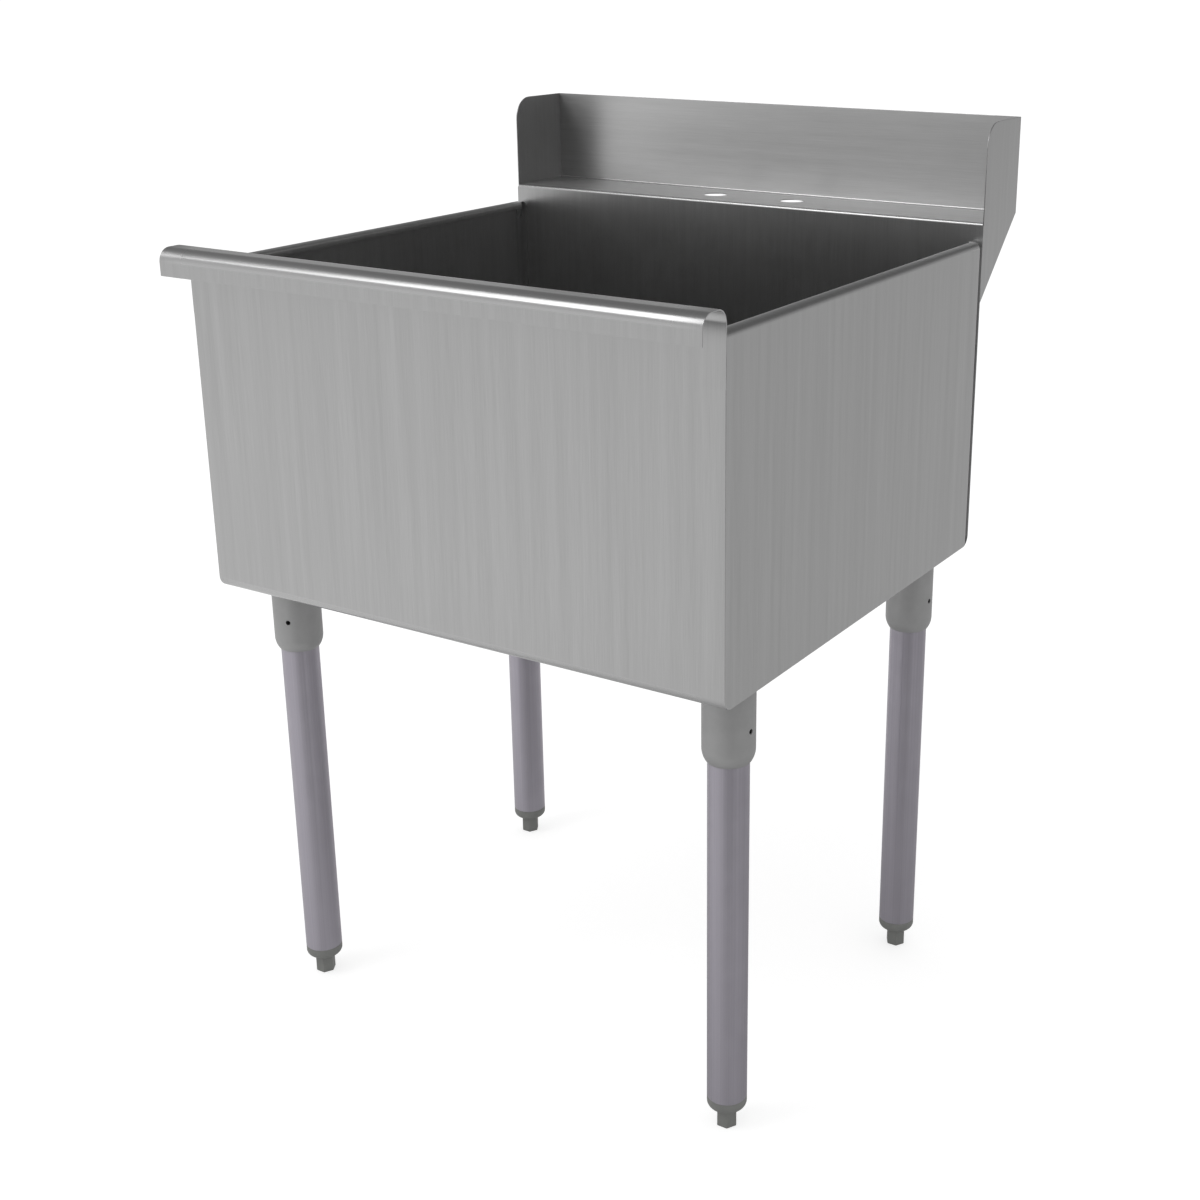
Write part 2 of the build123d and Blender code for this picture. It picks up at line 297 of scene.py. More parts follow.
def cut(piece: bpy.types.Object, tool: bpy.types.Object, operation: str = "DIFFERENCE") -> bpy.types.Object:
    """Cuts a piece with a tool, which is then removed.

    Args:
        piece: The piece that stays.
        tool: A closed mesh.
        operation: DIFFERENCE or INTERSECT.

    Returns:
        The piece.
    """
    modified(piece, "BOOLEAN", object=tool, operation=operation, solver="EXACT")
    bpy.data.objects.remove(tool)
    return piece


def rounded_edges(piece: bpy.types.Object, width: float, chosen: Callable[[Vector, Vector], bool],
                  segments: int = 2) -> bpy.types.Object:
    """Rounds the sharp edges that a test picks.

    Args:
        piece: The piece.
        width: Width of the rounding.
        chosen: Takes an edge's two ends and says whether it is rounded.
        segments: Faces across the rounding.

    Returns:
        The piece.
    """
    mesh = bmesh.new()
    mesh.from_mesh(piece.data)
    edges = [
        e for e in mesh.edges
        if len(e.link_faces) == 2 and e.calc_face_angle(0.0) > SHARP_EDGE
        and chosen(e.verts[0].co, e.verts[1].co)
    ]
    made = bmesh.ops.bevel(mesh, geom=edges, offset=width, segments=segments, profile=0.5, affect="EDGES",
                           clamp_overlap=True, loop_slide=True)
    bend = mesh.verts.layers.float.get(BEND_NAME)
    faces = set(made["faces"])
    for vert in made["verts"]:
        vert[bend] = float(faces.issuperset(vert.link_faces))
    mesh.to_mesh(piece.data)
    mesh.free()
    return piece


def everywhere(start: Vector, end: Vector) -> bool:
    """Picks every edge."""
    return True


def finished(piece: bpy.types.Object, material: bpy.types.Material) -> bpy.types.Object:
    """Smooths a piece up to its sharp edges and gives it its only material.

    Args:
        piece: The piece.
        material: Its material.

    Returns:
        The piece.
    """
    piece.data.shade_smooth()
    piece.data.set_sharp_from_angle(angle=SHARP_EDGE)
    modified(piece, "WEIGHTED_NORMAL", keep_sharp=True, weight=50)
    piece.data.materials.clear()
    piece.data.materials.append(material)
    return piece


def lathe(name: str, outline: Sequence[Point], centre: Point, sides: int = 96, closed: bool = False,
          brushing: Brushing = Brushing.ALONG) -> bpy.types.Object:
    """Turns an outline round a vertical axis.

    Args:
        name: The piece's name.
        outline: (radius, height) points, with the solid on their left. An open one starts and ends on
            the axis.
        centre: Where the axis stands.
        sides: Steps round the axis.
        closed: Whether the outline closes on itself, as a ring's does.
        brushing: Which way its scratches run.

    Returns:
        The piece.
    """
    skin = Surface(name)
    widest = max(radius for radius, _ in outline)
    along, rows = 0.0, []
    for index, (radius, height) in enumerate(outline):
        if index:
            along += math.dist(outline[index - 1], outline[index])
        count = sides if radius > SAME_PLACE else 1
        rows.append([
            skin.point(
                (centre[0] + radius * math.cos(math.tau * i / sides),
                 centre[1] + radius * math.sin(math.tau * i / sides), height),
                (math.tau * i / sides * widest, along))
            for i in range(count)
        ])
    total = along + math.dist(outline[-1], outline[0])
    pairs = list(zip(rows, rows[1:])) + ([(rows[-1], rows[0])] if closed else [])
    for low, high in pairs:
        for i in range(sides):
            ring = [(low, i), (low, i + 1), (high, i + 1), (high, i)]
            verts, flats = [], []
            for row, place in ring:
                vert = row[place % len(row)]
                if vert in verts:
                    continue
                start = skin.flat[vert.index][1]
                verts.append(vert)
                flats.append((math.tau * place / sides * widest,
                              total if closed and row is rows[0] and high is rows[0] else start))
            skin.face(verts, brushing, flats)
    return skin.piece()


# ---- Node trees ----


def add_node(tree: bpy.types.NodeTree, kind: str, inputs: dict[str | int, object] | None = None,
             **settings: object) -> bpy.types.Node:
    """Adds a node to a tree.

    Args:
        tree: A shader or geometry tree.
        kind: The node's type.
        inputs: What goes in each input, by name or number: another node's socket, or a value.
        settings: The node's own settings.

    Returns:
        The node.
    """
    node = tree.nodes.new(kind)
    for key, value in settings.items():
        setattr(node, key, value)
    for key, value in (inputs or {}).items():
        if isinstance(value, Socket):
            tree.links.new(value, node.inputs[key])
        else:
            node.inputs[key].default_value = value
    return node


def linear(colour: str) -> tuple[float, float, float, float]:
    """Turns an sRGB hex colour into a linear one.

    Args:
        colour: Six hex digits.

    Returns:
        Linear red, green and blue, and an alpha of 1.
    """
    channels = [int(colour[i:i + 2], 16) / 255 for i in (0, 2, 4)]
    made = [c / 12.92 if c <= 0.04045 else ((c + 0.055) / 1.055) ** 2.4 for c in channels]
    return (*made, 1.0)


def new_material(name: str) -> tuple[bpy.types.Material, bpy.types.NodeTree, bpy.types.Node]:
    """Makes an empty material.

    Args:
        name: Its name.

    Returns:
        The material, its tree and its output node.
    """
    material = bpy.data.materials.new(name)
    material.use_nodes = True
    material.node_tree.nodes.clear()
    return material, material.node_tree, add_node(material.node_tree, "ShaderNodeOutputMaterial")


def streaks(tree: bpy.types.NodeTree, place: Socket, width: float, length: float, seed: float,
            detail: float = 2.0) -> Socket:
    """Noise drawn out along V.

    Args:
        tree: The material's tree.
        place: A UV coordinate in metres.
        width: Size of a streak across its run.
        length: Size along its run.
        seed: Shift of the noise, so that two layers differ.
        detail: Octaves of the noise.

    Returns:
        The noise, about 0.5 on average.
    """
    spread = add_node(tree, "ShaderNodeMapping", {
        "Vector": place, "Location": (seed, seed, seed), "Scale": (1 / width, 1 / length, 1.0)})
    noise = add_node(tree, "ShaderNodeTexNoise", {
        "Vector": spread.outputs["Vector"], "Scale": 1.0, "Detail": detail, "Roughness": 0.6})
    return noise.outputs["Fac"]


def ranged(tree: bpy.types.NodeTree, value: Socket, low: float, high: float, start: float = 0.25,
           end: float = 0.75) -> Socket:
    """Stretches a value from one range to another.

    Args:
        tree: The material's tree.
        value: The value.
        low: Result at start.
        high: Result at end.
        start: Low end of the value.
        end: High end of the value.

    Returns:
        The result.
    """
    node = add_node(tree, "ShaderNodeMapRange", {
        "Value": value, "From Min": start, "From Max": end, "To Min": low, "To Max": high})
    return node.outputs["Result"]


def blended(tree: bpy.types.NodeTree, factor: Socket | float, first: object, second: object) -> Socket:
    """Mixes two colours.

    Args:
        tree: The material's tree.
        factor: Share of the second.
        first: A colour or a socket.
        second: A colour or a socket.

    Returns:
        The mixed colour.
    """
    node = add_node(tree, "ShaderNodeMix", {0: factor, 6: first, 7: second}, data_type="RGBA")
    return node.outputs[2]


def maths(tree: bpy.types.NodeTree, operation: str, first: object, second: object = 0.0) -> Socket:
    """Works out one sum of two values."""
    return add_node(tree, "ShaderNodeMath", {0: first, 1: second}, operation=operation).outputs[0]


# ---- Finishes ----


@dataclass(frozen=True)
class BrushedStainless:
    """Stainless steel 304 sheet with a number 4 finish, brushed by a belt.

    The belt leaves fine scratches along the grain, so reflections smear across it. The bends are
    polished again after folding, so they are smoother than the flats and of one even tone.
    """

    name: str = "brushed_stainless_304"
    dark: str = "b2b2b2"
    light: str = "c7c7c7"
    bend: str = "bebebe"
    roughness: float = 0.39
    bend_roughness: float = 0.27
    scratch_width: float = 0.7 * MM  # a real scratch is 0.05 mm wide, drawn as coarse as it needs to show
    scratch_length: float = 45 * MM
    scratch_depth: float = 0.004 * MM
    band_width: float = 9 * MM
    band_length: float = 420 * MM
    cloud_size: float = 150 * MM
    wave_size: float = 260 * MM
    wave_depth: float = 0.12 * MM
    scratch_share: float = 0.6  # how much the scratches tint the steel, the bands doing the rest
    anisotropy: float = 0.7

    def material(self) -> bpy.types.Material:
        """Builds the material.

        Returns:
            The material.
        """
        material, tree, output = new_material(self.name)
        place = add_node(tree, "ShaderNodeUVMap", uv_map=UV_NAME).outputs["UV"]
        body = add_node(tree, "ShaderNodeTexCoord").outputs["Object"]
        bend = add_node(tree, "ShaderNodeAttribute", attribute_name=BEND_NAME).outputs["Fac"]
        fine = streaks(tree, place, self.scratch_width, self.scratch_length, 3.0, 3.0)
        band = streaks(tree, place, self.band_width, self.band_length, 11.0)
        cloud = add_node(tree, "ShaderNodeTexNoise", {
            "Vector": body, "Scale": 1 / self.cloud_size, "Detail": 3.0}).outputs["Fac"]
        grain = maths(tree, "ADD", maths(tree, "MULTIPLY", fine, self.scratch_share),
                      maths(tree, "MULTIPLY", band, 1 - self.scratch_share))
        steel = blended(tree, ranged(tree, grain, 0.0, 1.0, 0.3, 0.7), linear(self.dark), linear(self.light))
        worn = blended(tree, ranged(tree, cloud, 0.0, 0.35), steel, linear(self.light))
        colour = blended(tree, bend, worn, linear(self.bend))
        flat_rough = maths(tree, "ADD", ranged(tree, fine, -0.05, 0.05), ranged(
            tree, cloud, self.roughness - 0.03, self.roughness + 0.03))
        rough = add_node(tree, "ShaderNodeMix", {
            0: bend, 2: flat_rough, 3: self.bend_roughness}).outputs[0]
        wave = add_node(tree, "ShaderNodeTexNoise", {
            "Vector": body, "Scale": 1 / self.wave_size, "Detail": 0.0}).outputs["Fac"]
        sway = add_node(tree, "ShaderNodeBump", {
            "Height": wave, "Strength": 1.0, "Distance": self.wave_depth}).outputs["Normal"]
        scratched = add_node(tree, "ShaderNodeBump", {
            "Height": fine, "Strength": 0.5, "Distance": self.scratch_depth,
            "Normal": sway}).outputs["Normal"]
        run = add_node(tree, "ShaderNodeTangent", direction_type="UV_MAP", uv_map=UV_NAME).outputs["Tangent"]
        shader = add_node(tree, "ShaderNodeBsdfPrincipled", {
            "Base Color": colour, "Metallic": 1.0, "Roughness": rough, "Normal": scratched,
            "Anisotropic": self.anisotropy, "Tangent": run})
        tree.links.new(shader.outputs["BSDF"], output.inputs["Surface"])
        return material


@dataclass(frozen=True)
class RolledTube:
    """Galvanised steel tube, drawn to size and then ground round on a belt.

    Zinc gives it a faint violet cast. Drawing leaves long soft streaks down its length, and the fine
    marks of the belt run round it, so a lamp shows as a narrow line down its whole length.
    """

    name: str = "galvanised_steel_tube"
    dark: str = "aaa6af"
    light: str = "b8b4bd"
    roughness: float = 0.4
    streak_width: float = 1.6 * MM
    streak_length: float = 500 * MM
    streak_depth: float = 0.01 * MM
    bloom_size: float = 22 * MM
    anisotropy: float = 0.8
    turn: float = 0.25  # a quarter turn, because the belt's marks run round the tube

    def material(self) -> bpy.types.Material:
        """Builds the material.

        Returns:
            The material.
        """
        material, tree, output = new_material(self.name)
        place = add_node(tree, "ShaderNodeUVMap", uv_map=UV_NAME).outputs["UV"]
        body = add_node(tree, "ShaderNodeTexCoord").outputs["Object"]
        streak = streaks(tree, place, self.streak_width, self.streak_length, 5.0, 3.0)
        bloom = add_node(tree, "ShaderNodeTexNoise", {
            "Vector": body, "Scale": 1 / self.bloom_size, "Detail": 4.0}).outputs["Fac"]
        zinc = blended(tree, ranged(tree, streak, 0.0, 1.0), linear(self.dark), linear(self.light))
        colour = blended(tree, ranged(tree, bloom, 0.0, 0.25), zinc, linear(self.light))
        rough = ranged(tree, bloom, self.roughness - 0.04, self.roughness + 0.05)
        drawn = add_node(tree, "ShaderNodeBump", {
            "Height": streak, "Strength": 0.4, "Distance": self.streak_depth}).outputs["Normal"]
        run = add_node(tree, "ShaderNodeTangent", direction_type="UV_MAP", uv_map=UV_NAME).outputs["Tangent"]
        shader = add_node(tree, "ShaderNodeBsdfPrincipled", {
            "Base Color": colour, "Metallic": 0.9, "Roughness": rough, "Normal": drawn,
            "Anisotropic": self.anisotropy, "Anisotropic Rotation": self.turn, "Tangent": run})
        tree.links.new(shader.outputs["BSDF"], output.inputs["Surface"])
        return material


@dataclass(frozen=True)
class Grained:
    """A finish whose surface is an even fine grain: castings, mouldings, rubber and fibre.

    The grain breaks up the gloss, and a broad mottle keeps large faces from looking flat.
    """

    name: str
    dark: str
    light: str
    metallic: float
    roughness: float
    grain_size: float
    grain_depth: float
    mottle_size: float = 14 * MM
    grain_share: float = 0.45  # how much the grain tints it, the mottle doing the rest

    def material(self) -> bpy.types.Material:
        """Builds the material.

        Returns:
            The material.
        """
        material, tree, output = new_material(self.name)
        body = add_node(tree, "ShaderNodeTexCoord").outputs["Object"]
        grain = add_node(tree, "ShaderNodeTexNoise", {
            "Vector": body, "Scale": 1 / self.grain_size, "Detail": 3.0, "Roughness": 0.65}).outputs["Fac"]
        mottle = add_node(tree, "ShaderNodeTexNoise", {
            "Vector": body, "Scale": 1 / self.mottle_size, "Detail": 2.0}).outputs["Fac"]
        mix = maths(tree, "ADD", maths(tree, "MULTIPLY", grain, self.grain_share),
                    maths(tree, "MULTIPLY", mottle, 1 - self.grain_share))
        colour = blended(tree, ranged(tree, mix, 0.0, 1.0, 0.35, 0.65), linear(self.dark), linear(self.light))
        rough = ranged(tree, grain, self.roughness - 0.06, self.roughness + 0.06)
        pitted = add_node(tree, "ShaderNodeBump", {
            "Height": grain, "Strength": 0.6, "Distance": self.grain_depth}).outputs["Normal"]
        shader = add_node(tree, "ShaderNodeBsdfPrincipled", {
            "Base Color": colour, "Metallic": self.metallic, "Roughness": rough, "Normal": pitted})
        tree.links.new(shader.outputs["BSDF"], output.inputs["Surface"])
        return material


@dataclass
class Finishes:
    """Every material of the sink, by the record's slot."""

    made: dict[str, bpy.types.Material] = field(default_factory=dict)

    def __post_init__(self) -> None:
        """Builds the materials."""
        kinds = {
            "stainless_sheet": BrushedStainless(),
            # Gravity die casting left matt: a fine orange peel and no mirror at all
            "cast_socket": Grained(
                "cast_aluminium_alloy", "a8a8a8", "afafaf", 0.6, 0.48, 0.9 * MM, 0.03 * MM),
            "plated_tube": RolledTube(),
            # Glass-filled nylon, moulded: a low even sheen over a fine spark-eroded texture
            "foot_polymer": Grained(
                "glass_filled_nylon", "80817f", "8a8b88", 0.0, 0.48, 0.7 * MM, 0.03 * MM),
            # Black oxide on alloy steel: nearly black, with a dull oily gleam
            "black_screw": Grained(
                "black_oxide_steel", "0e0e0e", "1b1b1c", 0.6, 0.42, 0.3 * MM, 0.01 * MM, 3 * MM),
            # Spun and polished stainless 304: faint rings from the polishing wheel
            "drain_stainless": BrushedStainless(
                "spun_stainless_304", "a3a4a4", "aeafaf", "bcbdbd", 0.24, 0.16, 0.5 * MM, 60 * MM,
                0.003 * MM),
            # Nitrile rubber: black, matt, with a faint bloom
            "drain_rubber": Grained(
                "nitrile_rubber", "151515", "222222", 0.0, 0.62, 0.5 * MM, 0.03 * MM, 9 * MM),
            # Vulcanised fibre: dense brown paper board with visible fibres
            "drain_fibre": Grained(
                "vulcanised_fibre", "8a7561", "9c8670", 0.0, 0.7, 0.6 * MM, 0.04 * MM, 6 * MM),
            # Rough-plated die-cast brass: pale yellow grey with a soft lustre
            "drain_nut": Grained(
                "plated_brass", "a8a18c", "bab39d", 0.95, 0.36, 0.6 * MM, 0.02 * MM, 8 * MM),
        }
        self.made = {slot: finish.material() for slot, finish in kinds.items()}

    def placed(self, piece: bpy.types.Object, slot: str, body: str, *nodes: str) -> bpy.types.Object:
        """Finishes a piece and ties it to the frame.

        Args:
            piece: The piece.
            slot: The record's material slot.
            body: The body that it rides on.
            nodes: The nodes that it stands for.

        Returns:
            The piece.
        """
        finished(piece, self.made[slot])
        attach(piece, body)
        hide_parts(*nodes)
        LOG.info("%s: %d faces on %s, for %s", piece.name, len(piece.data.polygons), body, ", ".join(nodes))
        return piece


# ---- Bowl ----


@dataclass
class FoldedBowl:
    """The sheet folded from skirt to backsplash, with the pitched floor, the drain recess and the holes."""

    roll_radius: float = 19.05 * MM
    roll_corner: float = 13.5 * MM  # the roll is a little flat on top
    skirt_drop: float = 7.5 * MM  # skirt below the roll's centre
    deck_depth: float = 89 * MM
    splash_rise: float = 102 * MM
    deck_rise: float = 356.6 * MM
    floor_bend: float = 12 * MM
    deck_bend: float = 3 * MM
    splash_bend: float = 2 * MM
    hole_radius: float = 13.5 * MM
    hole_spacing: float = 101.6 * MM
    hole_setback: float = 44.5 * MM
    hole_patch: float = 20 * MM  # half the square of sheet that is laid out round each hole
    hole_steps: int = 12
    hole_near: float = 0.1 * MM  # how close to the patch's edge a vertex counts as on it
    field_half: Point = (236.6 * MM, 164.1 * MM)
    field_fall: float = 8 * MM
    recess_depth: float = 12 * MM
    recess_seat: float = 61 * MM
    recess_slope: float = math.radians(35)
    drain_hole: float = 44.5 * MM
    press_radii: tuple[float, float, float] = (4 * MM, 6 * MM, 600 * MM)
    cut_edge: float = 0.35 * MM
    weld_edge: float = 0.4 * MM
    roll_polish: float = 1.0

    def __post_init__(self) -> None:
        """Places the sheet's lines by the frame."""
        low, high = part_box("basin_wrapper")
        self.half = high.x
        self.skirt_y, self.rear, self.top = low.y, high.y, high.z
        self.wet_front = low.y + 2 * self.roll_radius
        self.wet_back = high.y - self.deck_depth - SHEET
        self.deck = self.top - self.splash_rise
        self.floor = self.deck - self.deck_rise + SHEET
        self.roll_z = self.deck - self.roll_radius
        self.skirt_z = self.roll_z - self.skirt_drop
        self.wet_bend = self.floor_bend - SHEET
        self.drain_y = (self.wet_front + self.wet_back) / 2
        self.seat = self.floor - self.recess_depth
        hole = self.hole_spacing / 2
        patch = self.hole_patch
        deck_half = self.half - SHEET
        marks = stations((-deck_half, 8), (-hole - patch, self.hole_steps), (-hole + patch, 2),
                         (hole - patch, self.hole_steps), (hole + patch, 8), (deck_half, 0))
        self.spread = [x / deck_half for x in marks]

    def line(self, skin: Surface, path: Sequence[Corner], start: float,
             half: float) -> tuple[list[list[bmesh.types.BMVert]], float]:
        """Adds one row of vertices across the sheet for each point of a path.

        Args:
            skin: The surface.
            path: (y, z, bend) points in order, bend being 1 on a bend and 0 on a flat.
            start: How far along the flat sheet the first point lies.
            half: Half the sheet's width there.

        Returns:
            The rows, and how far along the last point lies.
        """
        rows, along = [], start
        for index, (y, z, bend) in enumerate(path):
            if index:
                along += math.dist(path[index - 1][:2], (y, z))
            rows.append([skin.point((x * half, y, z), (x * half, along), bend) for x in self.spread])
        return rows, along

    def floor_rays(self, skin: Surface, loop: Sequence[bmesh.types.BMVert], start: float) -> None:
        """Lays the floor as rays from the drain hole out to its four bends and ends.

        Args:
            skin: The surface.
            loop: Vertices round the floor, anticlockwise from above.
            start: How far along the flat sheet the floor's front edge lies.
        """
        rays = []
        front_y = self.wet_front + self.wet_bend
        for outer in loop:
            away = Vector((outer.co.x, outer.co.y - self.drain_y))
            reach, way = away.length, away.normalized()
            edge = min(half / max(abs(part), 1e-9) for half, part in zip(self.field_half, way))
            slope, fall = math.tan(self.recess_slope), self.field_fall / edge
            meet = (self.recess_depth - self.field_fall + self.recess_seat * slope) / (slope - fall)
            profile = filleted([
                (self.drain_hole, -self.recess_depth, 0.0),
                (self.recess_seat, -self.recess_depth, self.press_radii[0]),
                (meet, -self.field_fall + meet * fall, self.press_radii[1]),
                (edge, 0.0, self.press_radii[2]),
                (reach, 0.0, 0.0)], steps=4)
            ray = []
            for distance, drop in profile[:-1]:
                x, y = way.x * distance, self.drain_y + way.y * distance
                ray.append(skin.point((x, y, self.floor + drop), (x, start + y - front_y)))
            rays.append(ray + [outer])
        for here, beyond in zip(rays, rays[1:] + rays[:1]):
            for i in range(len(here) - 1):
                skin.face((here[i], here[i + 1], beyond[i + 1], beyond[i]))

    def deck_rows(self, skin: Surface, first: list[bmesh.types.BMVert], start: float,
                  last: list[bmesh.types.BMVert]) -> None:
        """Lays the deck between its two bends, with its faucet holes.

        Args:
            skin: The surface.
            first: The row at the end of the front bend.
            start: How far along the flat sheet that row lies.
            last: The row at the start of the splash's bend.
        """
        hole_y = self.wet_back + SHEET + self.hole_setback
        front, rear = first[0].co.y, last[0].co.y
        marks = stations((front, 1), (hole_y - self.hole_patch, self.hole_steps),
                         (hole_y + self.hole_patch, 1), (rear, 0))
        half = self.half - SHEET
        xs = [x * half for x in self.spread]
        centres = [(side * self.hole_spacing / 2, hole_y) for side in (-1, 1)]
        inner, border = self.hole_patch - self.hole_near, self.hole_patch + self.hole_near
        rows: list[list[bmesh.types.BMVert | None]] = [list(first)]
        for y in marks[1:-1]:
            rows.append([
                None if any(abs(x - cx) < inner and abs(y - cy) < inner for cx, cy in centres)
                else skin.point((x, y, self.deck), (x, start + y - front))
                for x in xs
            ])
        rows.append(list(last))
        for i in range(len(rows) - 1):
            for j in range(len(xs) - 1):
                middle = ((xs[j] + xs[j + 1]) / 2, (marks[i] + marks[i + 1]) / 2)
                if not any(abs(middle[0] - cx) < inner and abs(middle[1] - cy) < inner for cx, cy in centres):
                    corners = (rows[i][j], rows[i][j + 1], rows[i + 1][j + 1], rows[i + 1][j])
                    skin.face(corners, Brushing.ACROSS)
        for cx, cy in centres:
            square = [
                v for row in rows for v in row
                if v and abs(v.co.x - cx) < border and abs(v.co.y - cy) < border
            ]
            square.sort(key=lambda v: math.atan2(v.co.y - cy, v.co.x - cx))
            circle = []
            for v in square:
                turn = math.atan2(v.co.y - cy, v.co.x - cx)
                x, y = cx + self.hole_radius * math.cos(turn), cy + self.hole_radius * math.sin(turn)
                circle.append(skin.point((x, y, self.deck), (x, start + y - front)))
            for i in range(len(square)):
                j = (i + 1) % len(square)
                skin.face((circle[i], square[i], square[j], circle[j]), Brushing.ACROSS)

    def build(self) -> bpy.types.Object:
        """Folds the whole sheet.

        Returns:
            The piece, without its material.
        """
        skin = Surface("folded_bowl_sheet")
        bend, inner_half = self.wet_bend, self.half - SHEET
        bend_z, front_y, rear_y = self.floor + bend, self.wet_front + bend, self.wet_back - bend
        corner, turn_z = self.roll_corner, self.deck - self.roll_corner
        roll = arc((self.skirt_y + corner, turn_z), corner, math.pi, math.pi / 2, ROLL_STEP)
        roll += arc((self.wet_front - corner, turn_z), corner, math.pi / 2, 0.0, ROLL_STEP)
        front = flat([(self.skirt_y, self.skirt_z), roll[0]]) + bent(roll, self.roll_polish)
        front += flat([(self.wet_front, z) for z in stations((turn_z, 6), (bend_z, 0))])
        front += bent(arc((front_y, bend_z), bend, math.pi, 1.5 * math.pi))
        low_rows, floor_start = self.line(skin, merged(front), 0.0, self.half)
        rear = bent(arc((rear_y, bend_z), bend, 1.5 * math.pi, math.tau))
        rear += flat([(self.wet_back, z) for z in stations((bend_z, 6), (self.deck - self.deck_bend, 0))])
        high_rows, along = self.line(skin, merged(rear), floor_start + rear_y - front_y, self.half)
        side_ys = stations((front_y, 16), (rear_y, 0))[1:-1]
        ends = {
            side: [skin.point((side * self.half, y, self.floor),
                              (side * self.half, floor_start + y - front_y)) for y in side_ys]
            for side in (-1, 1)
        }
        self.floor_rays(skin, low_rows[-1] + ends[1] + high_rows[0][::-1] + ends[-1][::-1], floor_start)
        nose_centre = (self.wet_back + self.deck_bend, self.deck - self.deck_bend)
        nose = bent(arc(nose_centre, self.deck_bend, math.pi, math.pi / 2))[1:]
        nose_rows, deck_start = self.line(skin, nose, along, inner_half)
        turn_y = self.rear - SHEET - self.splash_bend
        turn = bent(arc((turn_y, self.deck + self.splash_bend), self.splash_bend, -math.pi / 2, 0.0))
        splash_marks = stations((self.deck + self.splash_bend, 4), (self.top, 0))
        splash = merged(turn + flat([(self.rear - SHEET, z) for z in splash_marks]))
        splash_start = deck_start + turn_y - nose_rows[-1][0].co.y
        splash_rows, _ = self.line(skin, splash, splash_start, inner_half)
        for rows, brushing in (
            (low_rows, Brushing.ALONG), (high_rows + nose_rows[:1], Brushing.ALONG),
            (nose_rows, Brushing.ACROSS), (splash_rows, Brushing.ACROSS),
        ):
            for low, high in zip(rows, rows[1:]):
                skin.strip(low, high, brushing)
        self.deck_rows(skin, nose_rows[-1], deck_start, splash_rows[0])
        sheet = skin.piece()
        thickened(sheet)
        rounded_edges(sheet, self.weld_edge, self.at_weld, 3)
        return rounded_edges(sheet, self.cut_edge, self.at_free_edge)

    def on_end(self, place: Vector) -> bool:
        """Says whether a point lies at either end of the bowl."""
        return abs(place.x) > self.half - 0.01 * MM

    def on_wet_side(self, place: Vector) -> bool:
        """Says whether a point lies on or inside the wet line that the side panels are welded to.

        Args:
            place: The point.

        Returns:
            Whether it does.
        """
        near, bend = 0.05 * MM, self.wet_bend
        y = min(place.y - self.wet_front, self.wet_back - place.y)
        z = place.z - self.floor
        if y < bend and z < bend:
            return math.dist((y, z), (bend, bend)) < bend + near
        return y > -near and z > -near

    def at_weld(self, start: Vector, end: Vector) -> bool:
        """Picks the outer corners that are welded to the side panels and polished.

        Args:
            start: One end of the edge.
            end: Its other end.

        Returns:
            Whether the edge is picked.
        """
        high = self.roll_z - 1 * MM
        return all(self.on_end(p) and not self.on_wet_side(p) and p.z < high
                   and p.y > self.wet_front - 2 * SHEET for p in (start, end))

    def at_free_edge(self, start: Vector, end: Vector) -> bool:
        """Picks the cut edges that are only deburred.

        Args:
            start: One end of the edge.
            end: Its other end.

        Returns:
            Whether the edge is picked.
        """
        if all(self.on_end(p) for p in (start, end)):
            return all(p.y < self.wet_front + SHEET and p.z > self.roll_z
                       or p.y < self.skirt_y + 2 * SHEET for p in (start, end))
        return all(abs(p.x) < self.half - 1.01 * SHEET for p in (start, end))


